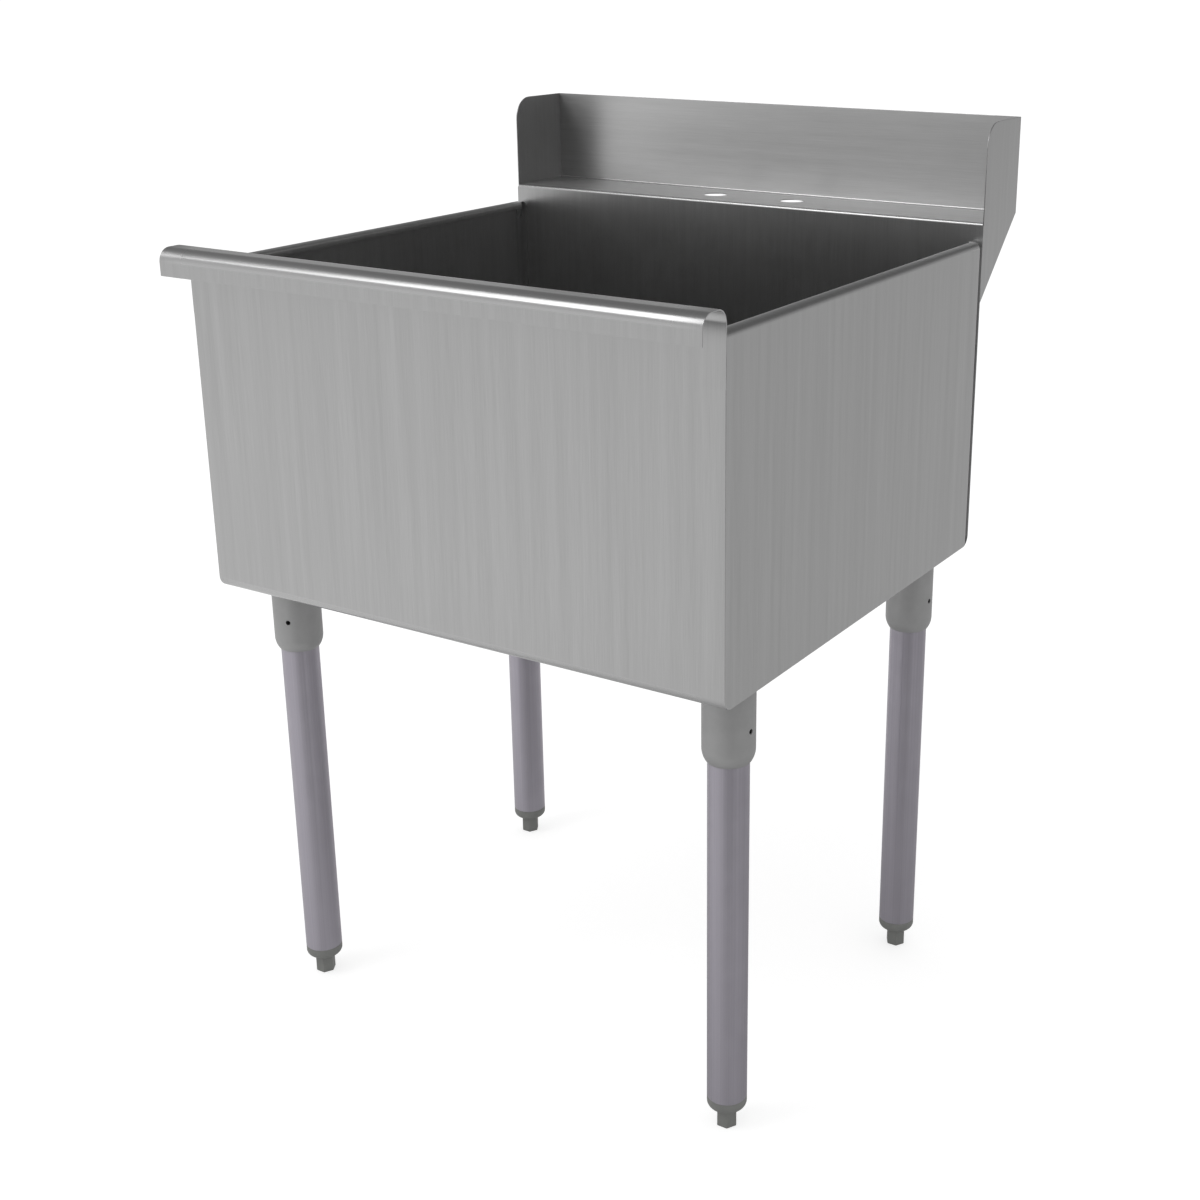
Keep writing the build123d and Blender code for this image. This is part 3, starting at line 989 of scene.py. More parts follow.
@dataclass
class SidePanel:
    """A side panel: flat sheet folded in along its top and rear, with a lip under the top."""

    bowl: FoldedBowl
    side: int
    bend: float = 7.5 * MM
    corner: float = 9 * MM
    flange: float = 12.3 * MM
    lip: float = 9 * MM
    lip_bend: float = 4.5 * MM
    bend_steps: int = 10
    lip_steps: int = 4
    cut_edge: float = 0.3 * MM

    def build(self) -> bpy.types.Object:
        """Folds the panel and trims it to the bowl's wet line.

        Returns:
            The piece, without its material.
        """
        bowl, name = self.bowl, "right" if self.side > 0 else "left"
        skin = Surface(f"folded_side_panel_{name}")
        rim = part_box(f"side_panel_{name}")[1].z
        past = bowl.floor_bend
        low_y, low_z = bowl.wet_front - past, bowl.floor - past
        centre = (bowl.wet_back - self.corner, rim - self.corner)
        path = [((y, rim), (0.0, 1.0)) for y in (low_y, centre[0])]
        path += [((centre[0] + self.corner * math.cos(a), centre[1] + self.corner * math.sin(a)),
                  (math.cos(a), math.sin(a)))
                 for a in [math.pi / 2 * (1 - i / self.bend_steps) for i in range(1, self.bend_steps)]]
        path += [((bowl.wet_back, z), (1.0, 0.0)) for z in (centre[1], low_z)]
        edge = self.flange - self.lip_bend
        turns = [math.pi / 2 * i / self.bend_steps for i in range(self.bend_steps + 1)]
        ends = (turns[0], turns[-1])
        fold = [(self.bend * (1 - math.sin(t)), self.bend * (1 - math.cos(t)), float(t not in ends))
                for t in turns]
        grid, along = self.rows(skin, path, fold + [(0.0, edge, 0.0)], 0.0)
        for low, high in zip(grid, grid[1:]):
            skin.strip(low, high)
        skin.face([*grid[0], self.vertex(skin, (low_y, low_z), (0.0, 0.0), 0.0, 0.0, 0.0, 0.0)][::-1])
        turns = [math.pi / 2 * i / self.lip_steps for i in range(1, self.lip_steps + 1)]
        lip = [(self.lip_bend * (1 - math.cos(t)), edge + self.lip_bend * math.sin(t), 1.0) for t in turns]
        hem, _ = self.rows(skin, path[:2], lip + [(self.lip, self.flange, 0.0)], along + lip[0][1] - edge)
        for low, high in zip([grid[-1][:2], *hem], hem):
            skin.strip(low, high)
        tail, _ = self.rows(skin, path[1:], [(0.0, self.flange, 0.0)], along + self.lip_bend)
        skin.strip(grid[-1][1:], tail[0])
        panel = skin.piece(turned=self.side < 0)
        thickened(panel)
        cut(panel, self.trimmer(), "INTERSECT")
        return rounded_edges(panel, self.cut_edge, self.at_lip)

    def rows(self, skin: Surface, path: Sequence[tuple[Point, Point]], profile: Sequence[Corner],
             start: float) -> tuple[list[list[bmesh.types.BMVert]], float]:
        """Sweeps a profile along a path.

        Args:
            skin: The surface.
            path: Places on the outline, each with the outline's outward normal.
            profile: (inset, depth, bend) points, from the panel's flat inwards.
            start: How far round the fold the first point lies.

        Returns:
            A row of vertices for each point of the profile, and how far round the last one lies.
        """
        made, along = [], start
        for index, (inset, depth, bend) in enumerate(profile):
            if index:
                along += math.dist(profile[index - 1][:2], (inset, depth))
            made.append([
                self.vertex(skin, place, normal, inset, depth, along, bend) for place, normal in path
            ])
        return made, along

    def vertex(self, skin: Surface, place: Point, normal: Point, inset: float, depth: float, along: float,
               bent: float) -> bmesh.types.BMVert:
        """Adds a vertex of the fold.

        Args:
            skin: The surface.
            place: A (y, z) point on the outline.
            normal: The outline's outward normal there.
            inset: Distance inside the outline.
            depth: Distance in from the panel's face.
            along: Distance round the fold from the panel's flat.
            bent: 1 on a bend, 0 on a flat.

        Returns:
            The vertex.
        """
        y, z = place[0] - normal[0] * inset, place[1] - normal[1] * inset
        flat = (place[0] + normal[0] * (along - self.bend), place[1] + normal[1] * (along - self.bend))
        return skin.point((self.side * (self.bowl.half - depth), y, z), flat, bent)

    def trimmer(self) -> bpy.types.Object:
        """Makes a prism of the bowl's inside, to trim the panel with.

        Returns:
            The prism.
        """
        bowl = self.bowl
        back = bowl.wet_back + 0.02 * MM  # clear of the panel's own rear face
        outline = filleted([
            (bowl.wet_front, bowl.top, 0.0), (bowl.wet_front, bowl.floor, bowl.wet_bend),
            (back, bowl.floor, bowl.wet_bend), (back, bowl.top, 0.0)], closed=True)
        skin = Surface("trimmer")
        ends = [
            [skin.point((self.side * (bowl.half + out), y, z), (y, z)) for y, z in outline]
            for out in (-2 * self.flange, 5 * MM)
        ]
        skin.face(ends[0][::-1])
        skin.face(ends[1])
        for i in range(len(outline)):
            j = (i + 1) % len(outline)
            skin.face((ends[0][i], ends[0][j], ends[1][j], ends[1][i]))
        return skin.piece(turned=self.side < 0)

    def at_lip(self, start: Vector, end: Vector) -> bool:
        """Picks the cut edge of the lip.

        Args:
            start: One end of the edge.
            end: Its other end.

        Returns:
            Whether the edge is picked.
        """
        near = 1.5 * SHEET
        inner = self.bowl.half - self.flange
        return all(abs(abs(p.x) - inner) < near and p.y < self.bowl.wet_back - 2 * near for p in (start, end))


@dataclass
class EndReturn:
    """The plate at one end of the deck and the backsplash, which runs down as a gusset."""

    bowl: FoldedBowl
    side: int
    corner: float = 25.4 * MM
    drop: float = 85 * MM
    cut_edge: float = 0.4 * MM

    def build(self) -> bpy.types.Object:
        """Cuts the plate.

        Returns:
            The piece, without its material.
        """
        bowl = self.bowl
        back = bowl.wet_back + SHEET
        outline = filleted([
            (back, bowl.deck - self.drop, 0.0), (bowl.rear, bowl.deck, 0.0), (bowl.rear, bowl.top, 0.0),
            (back, bowl.top, self.corner)], closed=True)
        skin = Surface(f"end_return_plate_{'right' if self.side > 0 else 'left'}")
        skin.face([skin.point((self.side * bowl.half, y, z), (y, z)) for y, z in outline])
        plate = skin.piece(turned=self.side < 0)
        thickened(plate)
        return rounded_edges(plate, self.cut_edge, everywhere)


# ---- Legs ----


@dataclass
class Leg:
    """A socket, its tube and the insert pressed in the tube's end."""

    name: str
    socket_length: float = 81.5 * MM
    socket_wall: float = 5.25 * MM
    mouth: float = 13 * MM
    mouth_wall: float = 1 * MM
    shoulder: float = 12 * MM
    clearance: float = 0.15 * MM
    tube_wall: float = 1.2 * MM
    collar: float = 6 * MM
    dome: float = 7.5 * MM
    dome_end: float = 11.5 * MM
    dome_steps: int = 8
    plug_length: float = 30 * MM
    stem_bore: float = 6.3 * MM
    seam: float = 0.35 * MM
    screw_drop: float = 46.5 * MM
    screw_hole: float = 2.6 * MM

    def __post_init__(self) -> None:
        """Reads the leg's place from the frame."""
        low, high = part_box(f"leg_tube_{self.name}")
        self.centre = ((low.x + high.x) / 2, (low.y + high.y) / 2)
        self.radius = (high.x - low.x) / 2
        self.tube_low, self.tube_high = low.z, high.z
        self.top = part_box(f"leg_socket_{self.name}")[1].z
        self.turn = math.radians(-6 if "right" in self.name else -69)

    def socket(self) -> bpy.types.Object:
        """Turns the socket and drills its set screw hole.

        Returns:
            The piece, without its material.
        """
        bore = self.radius + self.clearance
        outer = bore + self.socket_wall
        mouth = self.top - self.socket_length
        reach = outer - bore - self.mouth_wall
        big = (reach ** 2 + self.mouth ** 2) / (2 * reach)
        end = math.asin(self.mouth / big)
        taper = arc((outer - big, mouth + self.mouth), big, -end, 0.0, TAPER_STEP)
        outline = [(0.0, self.tube_high), (bore, self.tube_high), (bore, mouth), *taper,
                   (outer, self.top - self.shoulder), (outer, self.top), (0.0, self.top)]
        cup = lathe(f"leg_socket_cup_{self.name}", outline, self.centre)
        bit = [(0.0, 0.0), (self.screw_hole, 0.0), (self.screw_hole, 2 * outer), (0.0, 2 * outer)]
        drill = lathe("drill", bit, (0.0, 0.0), 32)
        place = Matrix.Translation((*self.centre, self.top - self.screw_drop))
        way = Matrix.Rotation(self.turn, 4, "Z") @ Matrix.Rotation(math.pi / 2, 4, "Y")
        drill.data.transform(place @ way)
        return cut(cup, drill)

    def tube(self) -> bpy.types.Object:
        """Turns the tube.

        Returns:
            The piece, without its material.
        """
        inner = self.radius - self.tube_wall
        outline = filleted([
            (self.radius, self.tube_low, self.seam), (self.radius, self.tube_high, self.seam),
            (inner, self.tube_high, 0.0), (inner, self.tube_low, 0.0)], closed=True, steps=3)
        return lathe(f"leg_tube_wall_{self.name}", outline, self.centre, 96, True)

    def insert(self) -> bpy.types.Object:
        """Turns the insert with its dome.

        Returns:
            The piece, without its material.
        """
        dome_top = self.tube_low - self.collar
        low = dome_top - self.dome
        reach = self.radius - self.dome_end
        dome = [(self.radius - reach * (1 - math.cos(t)), dome_top - self.dome * math.sin(t))
                for t in (math.pi / 2 * i / self.dome_steps for i in range(self.dome_steps, -1, -1))]
        plug = self.radius - self.tube_wall - 0.05 * MM
        high = self.tube_low + self.plug_length
        collar = filleted([
            (self.radius, dome_top + 0.5 * MM, 0.0), (self.radius, self.tube_low, self.seam),
            (plug, self.tube_low, 0.0), (plug, high, 0.0)], steps=3)
        outline = [(self.stem_bore, low), *dome, *collar, (self.stem_bore, high)]
        return lathe(f"foot_insert_plug_{self.name}", outline, self.centre, 96, True)


# ---- Repeats, made by geometry nodes ----


class Repeat:
    """A geometry nodes tree with named inputs, used once on a piece and then applied."""

    def __init__(self, name: str, material: bpy.types.Material) -> None:
        """Starts the tree.

        Args:
            name: Its name.
            material: What its result is made of.
        """
        self.tree = bpy.data.node_groups.new(name, "GeometryNodeTree")
        self.tree.interface.new_socket("Geometry", in_out="INPUT", socket_type="NodeSocketGeometry")
        self.tree.interface.new_socket("Geometry", in_out="OUTPUT", socket_type="NodeSocketGeometry")
        self.start = self.tree.nodes.new("NodeGroupInput")
        self.material = material
        self.values: dict[str, object] = {}

    def size(self, name: str, value: float | int) -> Socket:
        """Adds a named input.

        Args:
            name: Its name.
            value: Its value on this piece.

        Returns:
            The socket to link from.
        """
        kind = "NodeSocketInt" if isinstance(value, int) else "NodeSocketFloat"
        made = self.tree.interface.new_socket(name, in_out="INPUT", socket_type=kind)
        self.values[made.identifier] = value
        return self.start.outputs[name]

    def node(self, kind: str, inputs: dict[str | int, object] | None = None,
             **settings: object) -> bpy.types.Node:
        """Adds a node to the tree."""
        return add_node(self.tree, kind, inputs, **settings)

    def join(self, *parts: Socket) -> Socket:
        """Joins several geometries into one.

        Args:
            parts: The geometries.

        Returns:
            All of them.
        """
        node = self.node("GeometryNodeJoinGeometry")
        for part in parts:
            self.tree.links.new(part, node.inputs[0])
        return node.outputs[0]

    def grained(self, part: Socket) -> Socket:
        """Lays a vertical grain on new faces, which have no UV map of their own.

        Args:
            part: The new faces.

        Returns:
            The same faces with their grain.
        """
        place = self.node("ShaderNodeSeparateXYZ", {0: self.node("GeometryNodeInputPosition").outputs[0]})
        round_it = maths(self.tree, "ADD", place.outputs[0], place.outputs[1])
        laid = self.node("ShaderNodeCombineXYZ", {0: round_it, 1: place.outputs[2]})
        stored = self.node("GeometryNodeStoreNamedAttribute", {
            "Geometry": part, "Name": UV_NAME, "Value": laid.outputs[0]}, data_type="FLOAT2", domain="CORNER")
        return stored.outputs[0]

    def apply(self, piece: bpy.types.Object, result: Socket) -> bpy.types.Object:
        """Ends the tree and turns the piece into its result.

        Args:
            piece: The piece that the tree works on.
            result: The geometry to keep.

        Returns:
            The piece, a plain mesh.
        """
        real = self.node("GeometryNodeRealizeInstances", {0: result})
        dressed = self.node("GeometryNodeSetMaterial", {
            "Geometry": real.outputs[0], "Material": self.material})
        end = self.node("NodeGroupOutput")
        self.tree.links.new(dressed.outputs[0], end.inputs[0])
        modifier = piece.modifiers.new(self.tree.name, "NODES")
        modifier.node_group = self.tree
        for identifier, value in self.values.items():
            modifier[identifier] = value
        return applied(piece)


def threaded(piece: bpy.types.Object, material: bpy.types.Material, outer: float, pitch: float, length: float,
             low: float, centre: Point, core: bool) -> bpy.types.Object:
    """Adds an external thread to a piece.

    Args:
        piece: The piece.
        material: Its material.
        outer: Radius over the crests.
        pitch: Distance between two crests.
        length: Length of the thread.
        low: Height of its lower end.
        centre: Where its axis stands.
        core: Whether it also needs the rod inside it.

    Returns:
        The piece.
    """
    repeat = Repeat("thread", material)
    crest, step = repeat.size("Outer radius", outer), repeat.size("Pitch", pitch)
    long = repeat.size("Length", length)
    tooth = maths(repeat.tree, "MULTIPLY", step, 0.5)
    root = maths(repeat.tree, "SUBTRACT", crest, tooth)
    run = maths(repeat.tree, "SUBTRACT", long, step)
    helix = repeat.node("GeometryNodeCurveSpiral", {
        "Resolution": 28, "Rotations": maths(repeat.tree, "DIVIDE", run, step), "Start Radius": root,
        "End Radius": root, "Height": run})
    upright = repeat.node("GeometryNodeSetCurveNormal", {"Curve": helix.outputs[0]}, mode="Z_UP")
    outline = repeat.node("GeometryNodeCurvePrimitiveCircle", {
        "Resolution": 4, "Radius": tooth}, mode="RADIUS")
    ridge = repeat.node("GeometryNodeCurveToMesh", {
        "Curve": upright.outputs[0], "Profile Curve": outline.outputs[0], "Fill Caps": True})
    place = (*centre, low + pitch / 2)
    parts = [repeat.node("GeometryNodeTransform", {
        "Geometry": ridge.outputs[0], "Translation": place}).outputs[0]]
    if core:
        rod = repeat.node("GeometryNodeMeshCylinder", {
            "Vertices": 32, "Radius": maths(repeat.tree, "ADD", root, 0.1 * MM), "Depth": long})
        middle = (*centre, low + length / 2)
        parts.append(repeat.node("GeometryNodeTransform", {
            "Geometry": rod.outputs[0], "Translation": middle}).outputs[0])
    thread = repeat.grained(repeat.join(*parts))
    return repeat.apply(piece, repeat.join(thread, repeat.start.outputs["Geometry"]))


def lofted(name: str, rings: Sequence[Sequence[Sequence[float]]]) -> bpy.types.Object:
    """Skins closed rings of as many points, and caps both ends.

    Args:
        name: The piece's name.
        rings: The rings from low to high, each anticlockwise seen from above.

    Returns:
        The piece.
    """
    skin = Surface(name)
    rows, along = [], 0.0
    for index, ring in enumerate(rings):
        if index:
            along += (Vector(ring[0]) - Vector(rings[index - 1][0])).length
        step = (Vector(ring[1]) - Vector(ring[0])).length
        rows.append([skin.point(place, (i * step, along)) for i, place in enumerate(ring)])
    for low, high in zip(rows, rows[1:]):
        for i in range(len(low)):
            j = (i + 1) % len(low)
            skin.face((low[i], low[j], high[j], high[i]))
    skin.face(rows[0][::-1])
    skin.face(rows[-1])
    return skin.piece()


def polygon(centre: Point, flats: float, sides: int, corner: float, height: float) -> list[tuple[float, ...]]:
    """A ring in the shape of a regular polygon with rounded corners, one of them along +X.

    Args:
        centre: Its centre.
        flats: Distance across its flats.
        sides: Number of sides.
        corner: Radius of its corners.
        height: Height of the ring.

    Returns:
        The ring's points.
    """
    reach = flats / 2 / math.cos(math.pi / sides)
    corners = [(centre[0] + reach * math.cos(math.tau * i / sides),
                centre[1] + reach * math.sin(math.tau * i / sides), corner) for i in range(sides)]
    return [(x, y, height) for x, y in filleted(corners, closed=True, steps=4)]


@dataclass
class Foot:
    """The hexagon that stands on the floor, on its threaded stem."""

    leg: Leg
    flats: float = 19.05 * MM
    height: float = 20.2 * MM
    chamfer: float = 0.6 * MM
    corner: float = 0.7 * MM
    stem_radius: float = 6 * MM
    pitch: float = 1.75 * MM

    def build(self, material: bpy.types.Material) -> bpy.types.Object:
        """Moulds the foot.

        Args:
            material: What its thread is made of.

        Returns:
            The piece.
        """
        levels = ((0.0, self.chamfer), (self.chamfer * 0.35, self.chamfer * 0.35), (self.chamfer, 0.0),
                  (self.height - self.chamfer / 2, 0.0), (self.height, self.chamfer / 2))
        rings = [polygon(self.leg.centre, self.flats - 2 * inset, 6, self.corner, z) for z, inset in levels]
        foot = lofted(f"bullet_foot_{self.leg.name}", rings)
        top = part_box(f"adjustable_foot_{self.leg.name}")[1].z
        return threaded(foot, material, self.stem_radius, self.pitch, top - self.height, self.height,
                        self.leg.centre, True)


@dataclass
class SetScrews:
    """The four headless screws that clamp the tubes, one screw set at four places."""

    legs: Sequence[Leg]
    radius: float = 2.5 * MM
    key: float = 2.5 * MM
    key_depth: float = 2.5 * MM
    recess: float = 1 * MM
    point: float = 0.6 * MM
    rim: float = 0.3 * MM
    sides: int = 24

    def build(self, material: bpy.types.Material) -> bpy.types.Object:
        """Makes one screw and sets it in every socket.

        Args:
            material: What they are made of.

        Returns:
            The piece.
        """
        leg = self.legs[0]
        low = leg.radius + leg.clearance
        high = low + leg.socket_wall - self.recess
        screw = lathe("socket_set_screw_set", [
            (0.0, low), (self.radius - self.point, low), (self.radius, low + self.point),
            (self.radius, high - self.rim), (self.radius - self.rim, high), (0.0, high)],
            (0.0, 0.0), self.sides)
        rings = [polygon((0.0, 0.0), self.key, 6, 0.1 * MM, z)
                 for z in (high - self.key_depth, high + 1 * MM)]
        cut(screw, lofted("key", rings))
        screw.data.transform(Matrix.Rotation(math.pi / 2, 4, "Y"))
        repeat = Repeat("set_screws", material)
        placed = []
        for leg in self.legs:
            turn = repeat.node("ShaderNodeCombineXYZ", {2: repeat.size(f"Turn {leg.name}", leg.turn)})
            placed.append(repeat.node("GeometryNodeTransform", {
                "Geometry": repeat.start.outputs["Geometry"], "Rotation": turn.outputs[0],
                "Translation": (*leg.centre, leg.top - leg.screw_drop)}).outputs[0])
        return repeat.apply(screw, repeat.join(*placed))


# ---- Drain ----


@dataclass
class Drain:
    """The strainer in the drain recess, the rings that hold it, and its lift-out basket."""

    bowl: FoldedBowl
    cup: float = 42 * MM
    wall: float = 2 * MM
    cup_floor: float = 38 * MM
    flange: float = 57.15 * MM
    flange_thickness: float = 2 * MM
    throat: float = 21 * MM
    cone: float = 9 * MM
    outlet: float = 23.8 * MM
    outlet_length: float = 20 * MM
    outlet_pitch: float = 2.2 * MM
    gasket: float = 3 * MM
    washer: float = 1.2 * MM
    ring: float = 56 * MM
    ring_bore: float = 42.3 * MM
    nut: float = 9 * MM
    nut_radius: float = 53 * MM
    lug: float = 7 * MM
    lugs: int = 6
    basket_rim: float = 37.5 * MM
    basket_floor: float = 29 * MM
    basket_depth: float = 27 * MM
    basket_wall: float = 1 * MM
    hole: float = 1.7 * MM
    holes: tuple[int, int, int] = (6, 9, 12)  # holes on each ring, from the middle out
    slot: Point = (2.6 * MM, 9 * MM)
    slots: int = 12
    seal: float = 27 * MM
    seal_thickness: float = 4 * MM
    seal_gap: float = 0.3 * MM
    post: float = 3 * MM
    knob: float = 9.5 * MM
    knob_thickness: float = 5 * MM
    knob_rise: float = 10 * MM

    def __post_init__(self) -> None:
        """Works out the heights from the recess's seat."""
        self.centre = (0.0, self.bowl.drain_y)
        self.seat = self.bowl.seat
        self.floor = self.seat - self.cup_floor
        self.basket_low = self.floor + self.seal_gap + self.seal_thickness + 2 * MM

    def body(self, material: bpy.types.Material) -> bpy.types.Object:
        """Spins the flanged cup and threads its outlet.

        Args:
            material: What it is made of.

        Returns:
            The piece, without its material.
        """
        inner, thick = self.cup - self.wall, self.flange_thickness
        neck = self.floor - self.wall - self.cone
        end = neck - self.outlet_length
        root = self.outlet - self.outlet_pitch / 2
        outline = filleted([
            (self.flange, self.seat, 0.2 * MM), (self.flange, self.seat + thick / 2, 1.2 * MM),
            (self.flange - thick, self.seat + thick, 1.5 * MM),
            (inner + self.wall / 2, self.seat + thick, 1.4 * MM),
            (inner, self.seat + thick / 2, 0.8 * MM), (inner, self.floor, 4 * MM),
            (self.throat + self.wall, self.floor, 2 * MM), (self.throat, self.floor - self.wall, 1 * MM),
            (self.throat, end, 0.4 * MM), (root, end, 0.4 * MM), (root, neck, 0.2 * MM),
            (self.cup, self.floor - self.wall, 1.5 * MM), (self.cup, self.seat, 0.0)], closed=True, steps=4)
        shell = lathe("drain_strainer_shell", outline, self.centre, 128, True, Brushing.ACROSS)
        return threaded(shell, material, self.outlet, self.outlet_pitch, self.outlet_length - 1 * MM,
                        end + 0.5 * MM, self.centre, False)

    def rings(self) -> tuple[bpy.types.Object, bpy.types.Object]:
        """Turns the rubber gasket and the fibre washer.

        Returns:
            The gasket and the washer, without their materials.
        """
        high = self.seat - SHEET
        low = high - self.gasket
        bottom = low - self.washer
        soft = [(self.ring, low, 0.6 * MM), (self.ring, high, 0.0), (self.ring_bore, high, 0.0),
                (self.ring_bore, low, 0.3 * MM)]
        stiff = [(self.ring, bottom, 0.2 * MM), (self.ring, low, 0.1 * MM), (self.ring_bore, low, 0.0),
                 (self.ring_bore, bottom, 0.2 * MM)]
        return (lathe("rubber_gasket_ring", filleted(soft, True, 3), self.centre, 96, True),
                lathe("fibre_washer_ring", filleted(stiff, True, 2), self.centre, 96, True))

    def locknut(self, material: bpy.types.Material) -> bpy.types.Object:
        """Casts the nut and sets its lugs round it.

        Args:
            material: What it is made of.

        Returns:
            The piece, without its material.
        """
        high = self.seat - SHEET - self.gasket - self.washer
        low, collar = high - self.nut, high - self.nut / 3
        body = self.nut_radius - self.lug
        outline = filleted([
            (self.ring_bore, low, 0.4 * MM), (body, low, 0.5 * MM), (body, collar, 0.4 * MM),
            (self.nut_radius, collar, 0.4 * MM), (self.nut_radius, high, 0.4 * MM),
            (self.ring_bore, high, 0.2 * MM)], closed=True, steps=2)
        nut = lathe("cast_lug_nut", outline, self.centre, 96, True)
        edge = 0.5 * MM
        far, near, half = self.nut_radius - 0.2 * MM, body - 0.5 * MM, self.lug / 2
        rings = []
        for z, inset in ((low, edge), (low + edge, 0.0), (collar + 0.5 * MM, 0.0)):
            rings.append([(x, y, z) for x, y in filleted([
                (near, -half + inset, 0.0), (far - inset, -half + inset, 0.8 * MM),
                (far - inset, half - inset, 0.8 * MM), (near, half - inset, 0.0)], closed=True, steps=3)])
        lug = lofted("lug", rings)
        repeat = Repeat("nut_lugs", material)
        count = repeat.size("Lugs", self.lugs)
        place = repeat.node("GeometryNodeMeshCircle", {"Vertices": count, "Radius": 0.0})
        index = repeat.node("GeometryNodeInputIndex").outputs[0]
        turn = maths(repeat.tree, "DIVIDE", maths(repeat.tree, "MULTIPLY", index, math.tau), count)
        spin = repeat.node("ShaderNodeCombineXYZ", {2: turn})
        around = repeat.node("GeometryNodeInstanceOnPoints", {
            "Points": place.outputs[0], "Instance": repeat.start.outputs["Geometry"],
            "Rotation": spin.outputs[0]})
        lugs = repeat.apply(lug, around.outputs[0])
        lugs.data.transform(Matrix.Translation((*self.centre, 0.0)))
        return joined(nut, lugs)

    def basket(self, material: bpy.types.Material) -> bpy.types.Object:
        """Draws the basket and punches its holes and slots.

        Args:
            material: What it is made of.

        Returns:
            The piece, without its material.
        """
        low, wall = self.basket_low, self.basket_wall
        high = low + self.basket_depth
        rim = self.basket_rim - 2 * MM
        outline = filleted([
            (self.post, low, 0.0), (self.basket_floor, low, 2 * MM), (rim, high, 0.6 * MM),
            (self.basket_rim, high, 0.3 * MM), (self.basket_rim, high + wall, 0.45 * MM),
            (rim - wall, high + wall, 1.2 * MM), (self.basket_floor - wall, low + wall, 1.2 * MM),
            (self.post, low + wall, 0.0)], closed=True, steps=3)
        cup = lathe("perforated_basket_cup", outline, self.centre, 128, True, Brushing.ACROSS)
        repeat = Repeat("basket_holes", material)
        radius = repeat.size("Hole radius", self.hole)
        punch = repeat.node("GeometryNodeMeshCylinder", {"Vertices": 12, "Radius": radius, "Depth": 4 * wall})
        first, last = 2 * self.post + 4 * MM, self.basket_floor - wall - 2 * MM - self.hole
        index = repeat.node("GeometryNodeInputIndex").outputs[0]
        groups = []
        for ring, count in enumerate(self.holes):
            circle = repeat.node("GeometryNodeMeshCircle", {
                "Vertices": count, "Radius": first + (last - first) * ring / (len(self.holes) - 1)})
            punched = repeat.node("GeometryNodeInstanceOnPoints", {
                "Points": circle.outputs[0], "Instance": punch.outputs[0]})
            groups.append(punched.outputs[0])
        slots = repeat.size("Slots", self.slots)
        width, height = self.slot
        bar = repeat.node("GeometryNodeMeshCube", {"Size": (self.basket_rim, width, height)})
        circle = repeat.node("GeometryNodeMeshCircle", {"Vertices": slots, "Radius": 0.0})
        step = maths(repeat.tree, "DIVIDE", maths(repeat.tree, "ADD", index, 0.5), slots)
        spin = repeat.node("ShaderNodeCombineXYZ", {2: maths(repeat.tree, "MULTIPLY", step, math.tau)})
        shifted = repeat.node("GeometryNodeTransform", {
            "Geometry": bar.outputs[0],
            "Translation": (self.basket_floor / 2 + self.basket_rim / 2, 0.0, self.basket_depth / 2)})
        around = repeat.node("GeometryNodeInstanceOnPoints", {
            "Points": circle.outputs[0], "Instance": shifted.outputs[0], "Rotation": spin.outputs[0]})
        groups.append(around.outputs[0])
        punches = repeat.apply(Surface("punches").piece(), repeat.join(*groups))
        punches.data.transform(Matrix.Translation((*self.centre, low)))
        return cut(cup, punches)

    def handle(self) -> bpy.types.Object:
        """Turns the post with its foot and knob.

        Returns:
            The piece, without its material.
        """
        low, top = self.basket_low, self.seat + self.flange_thickness + self.knob_rise
        under = top - self.knob_thickness
        foot, foot_low = 12 * MM, low - 2 * MM
        outline = filleted([
            (0.0, foot_low, 0.0), (foot, foot_low, 0.3 * MM), (foot, low - 0.3 * MM, 0.5 * MM),
            (self.post, low - 0.3 * MM, 0.3 * MM), (self.post, under, 1.5 * MM), (self.knob, under, 1.5 * MM),
            (self.knob, top, 1.8 * MM), (0.0, top, 0.0)], steps=5)
        return lathe("basket_knob_post", outline, self.centre, 64, False, Brushing.ACROSS)

    def stopper(self) -> bpy.types.Object:
        """Turns the rubber disc that closes the throat.

        Returns:
            The piece, without its material.
        """
        low = self.floor + self.seal_gap
        outline = filleted([
            (0.0, low, 0.0), (self.seal, low, 1.2 * MM), (self.seal, low + self.seal_thickness, 0.8 * MM),
            (0.0, low + self.seal_thickness, 0.0)], steps=4)
        return lathe("stopper_seal_disc", outline, self.centre, 96)


def joined(piece: bpy.types.Object, other: bpy.types.Object) -> bpy.types.Object:
    """Adds another piece's mesh to a piece, and removes the other.

    Args:
        piece: The piece that stays.
        other: The piece that goes into it.

    Returns:
        The piece.
    """
    mesh = bmesh.new()
    mesh.from_mesh(piece.data)
    mesh.from_mesh(other.data)
    mesh.to_mesh(piece.data)
    mesh.free()
    bpy.data.objects.remove(other)
    return piece


# ---- Studio ----


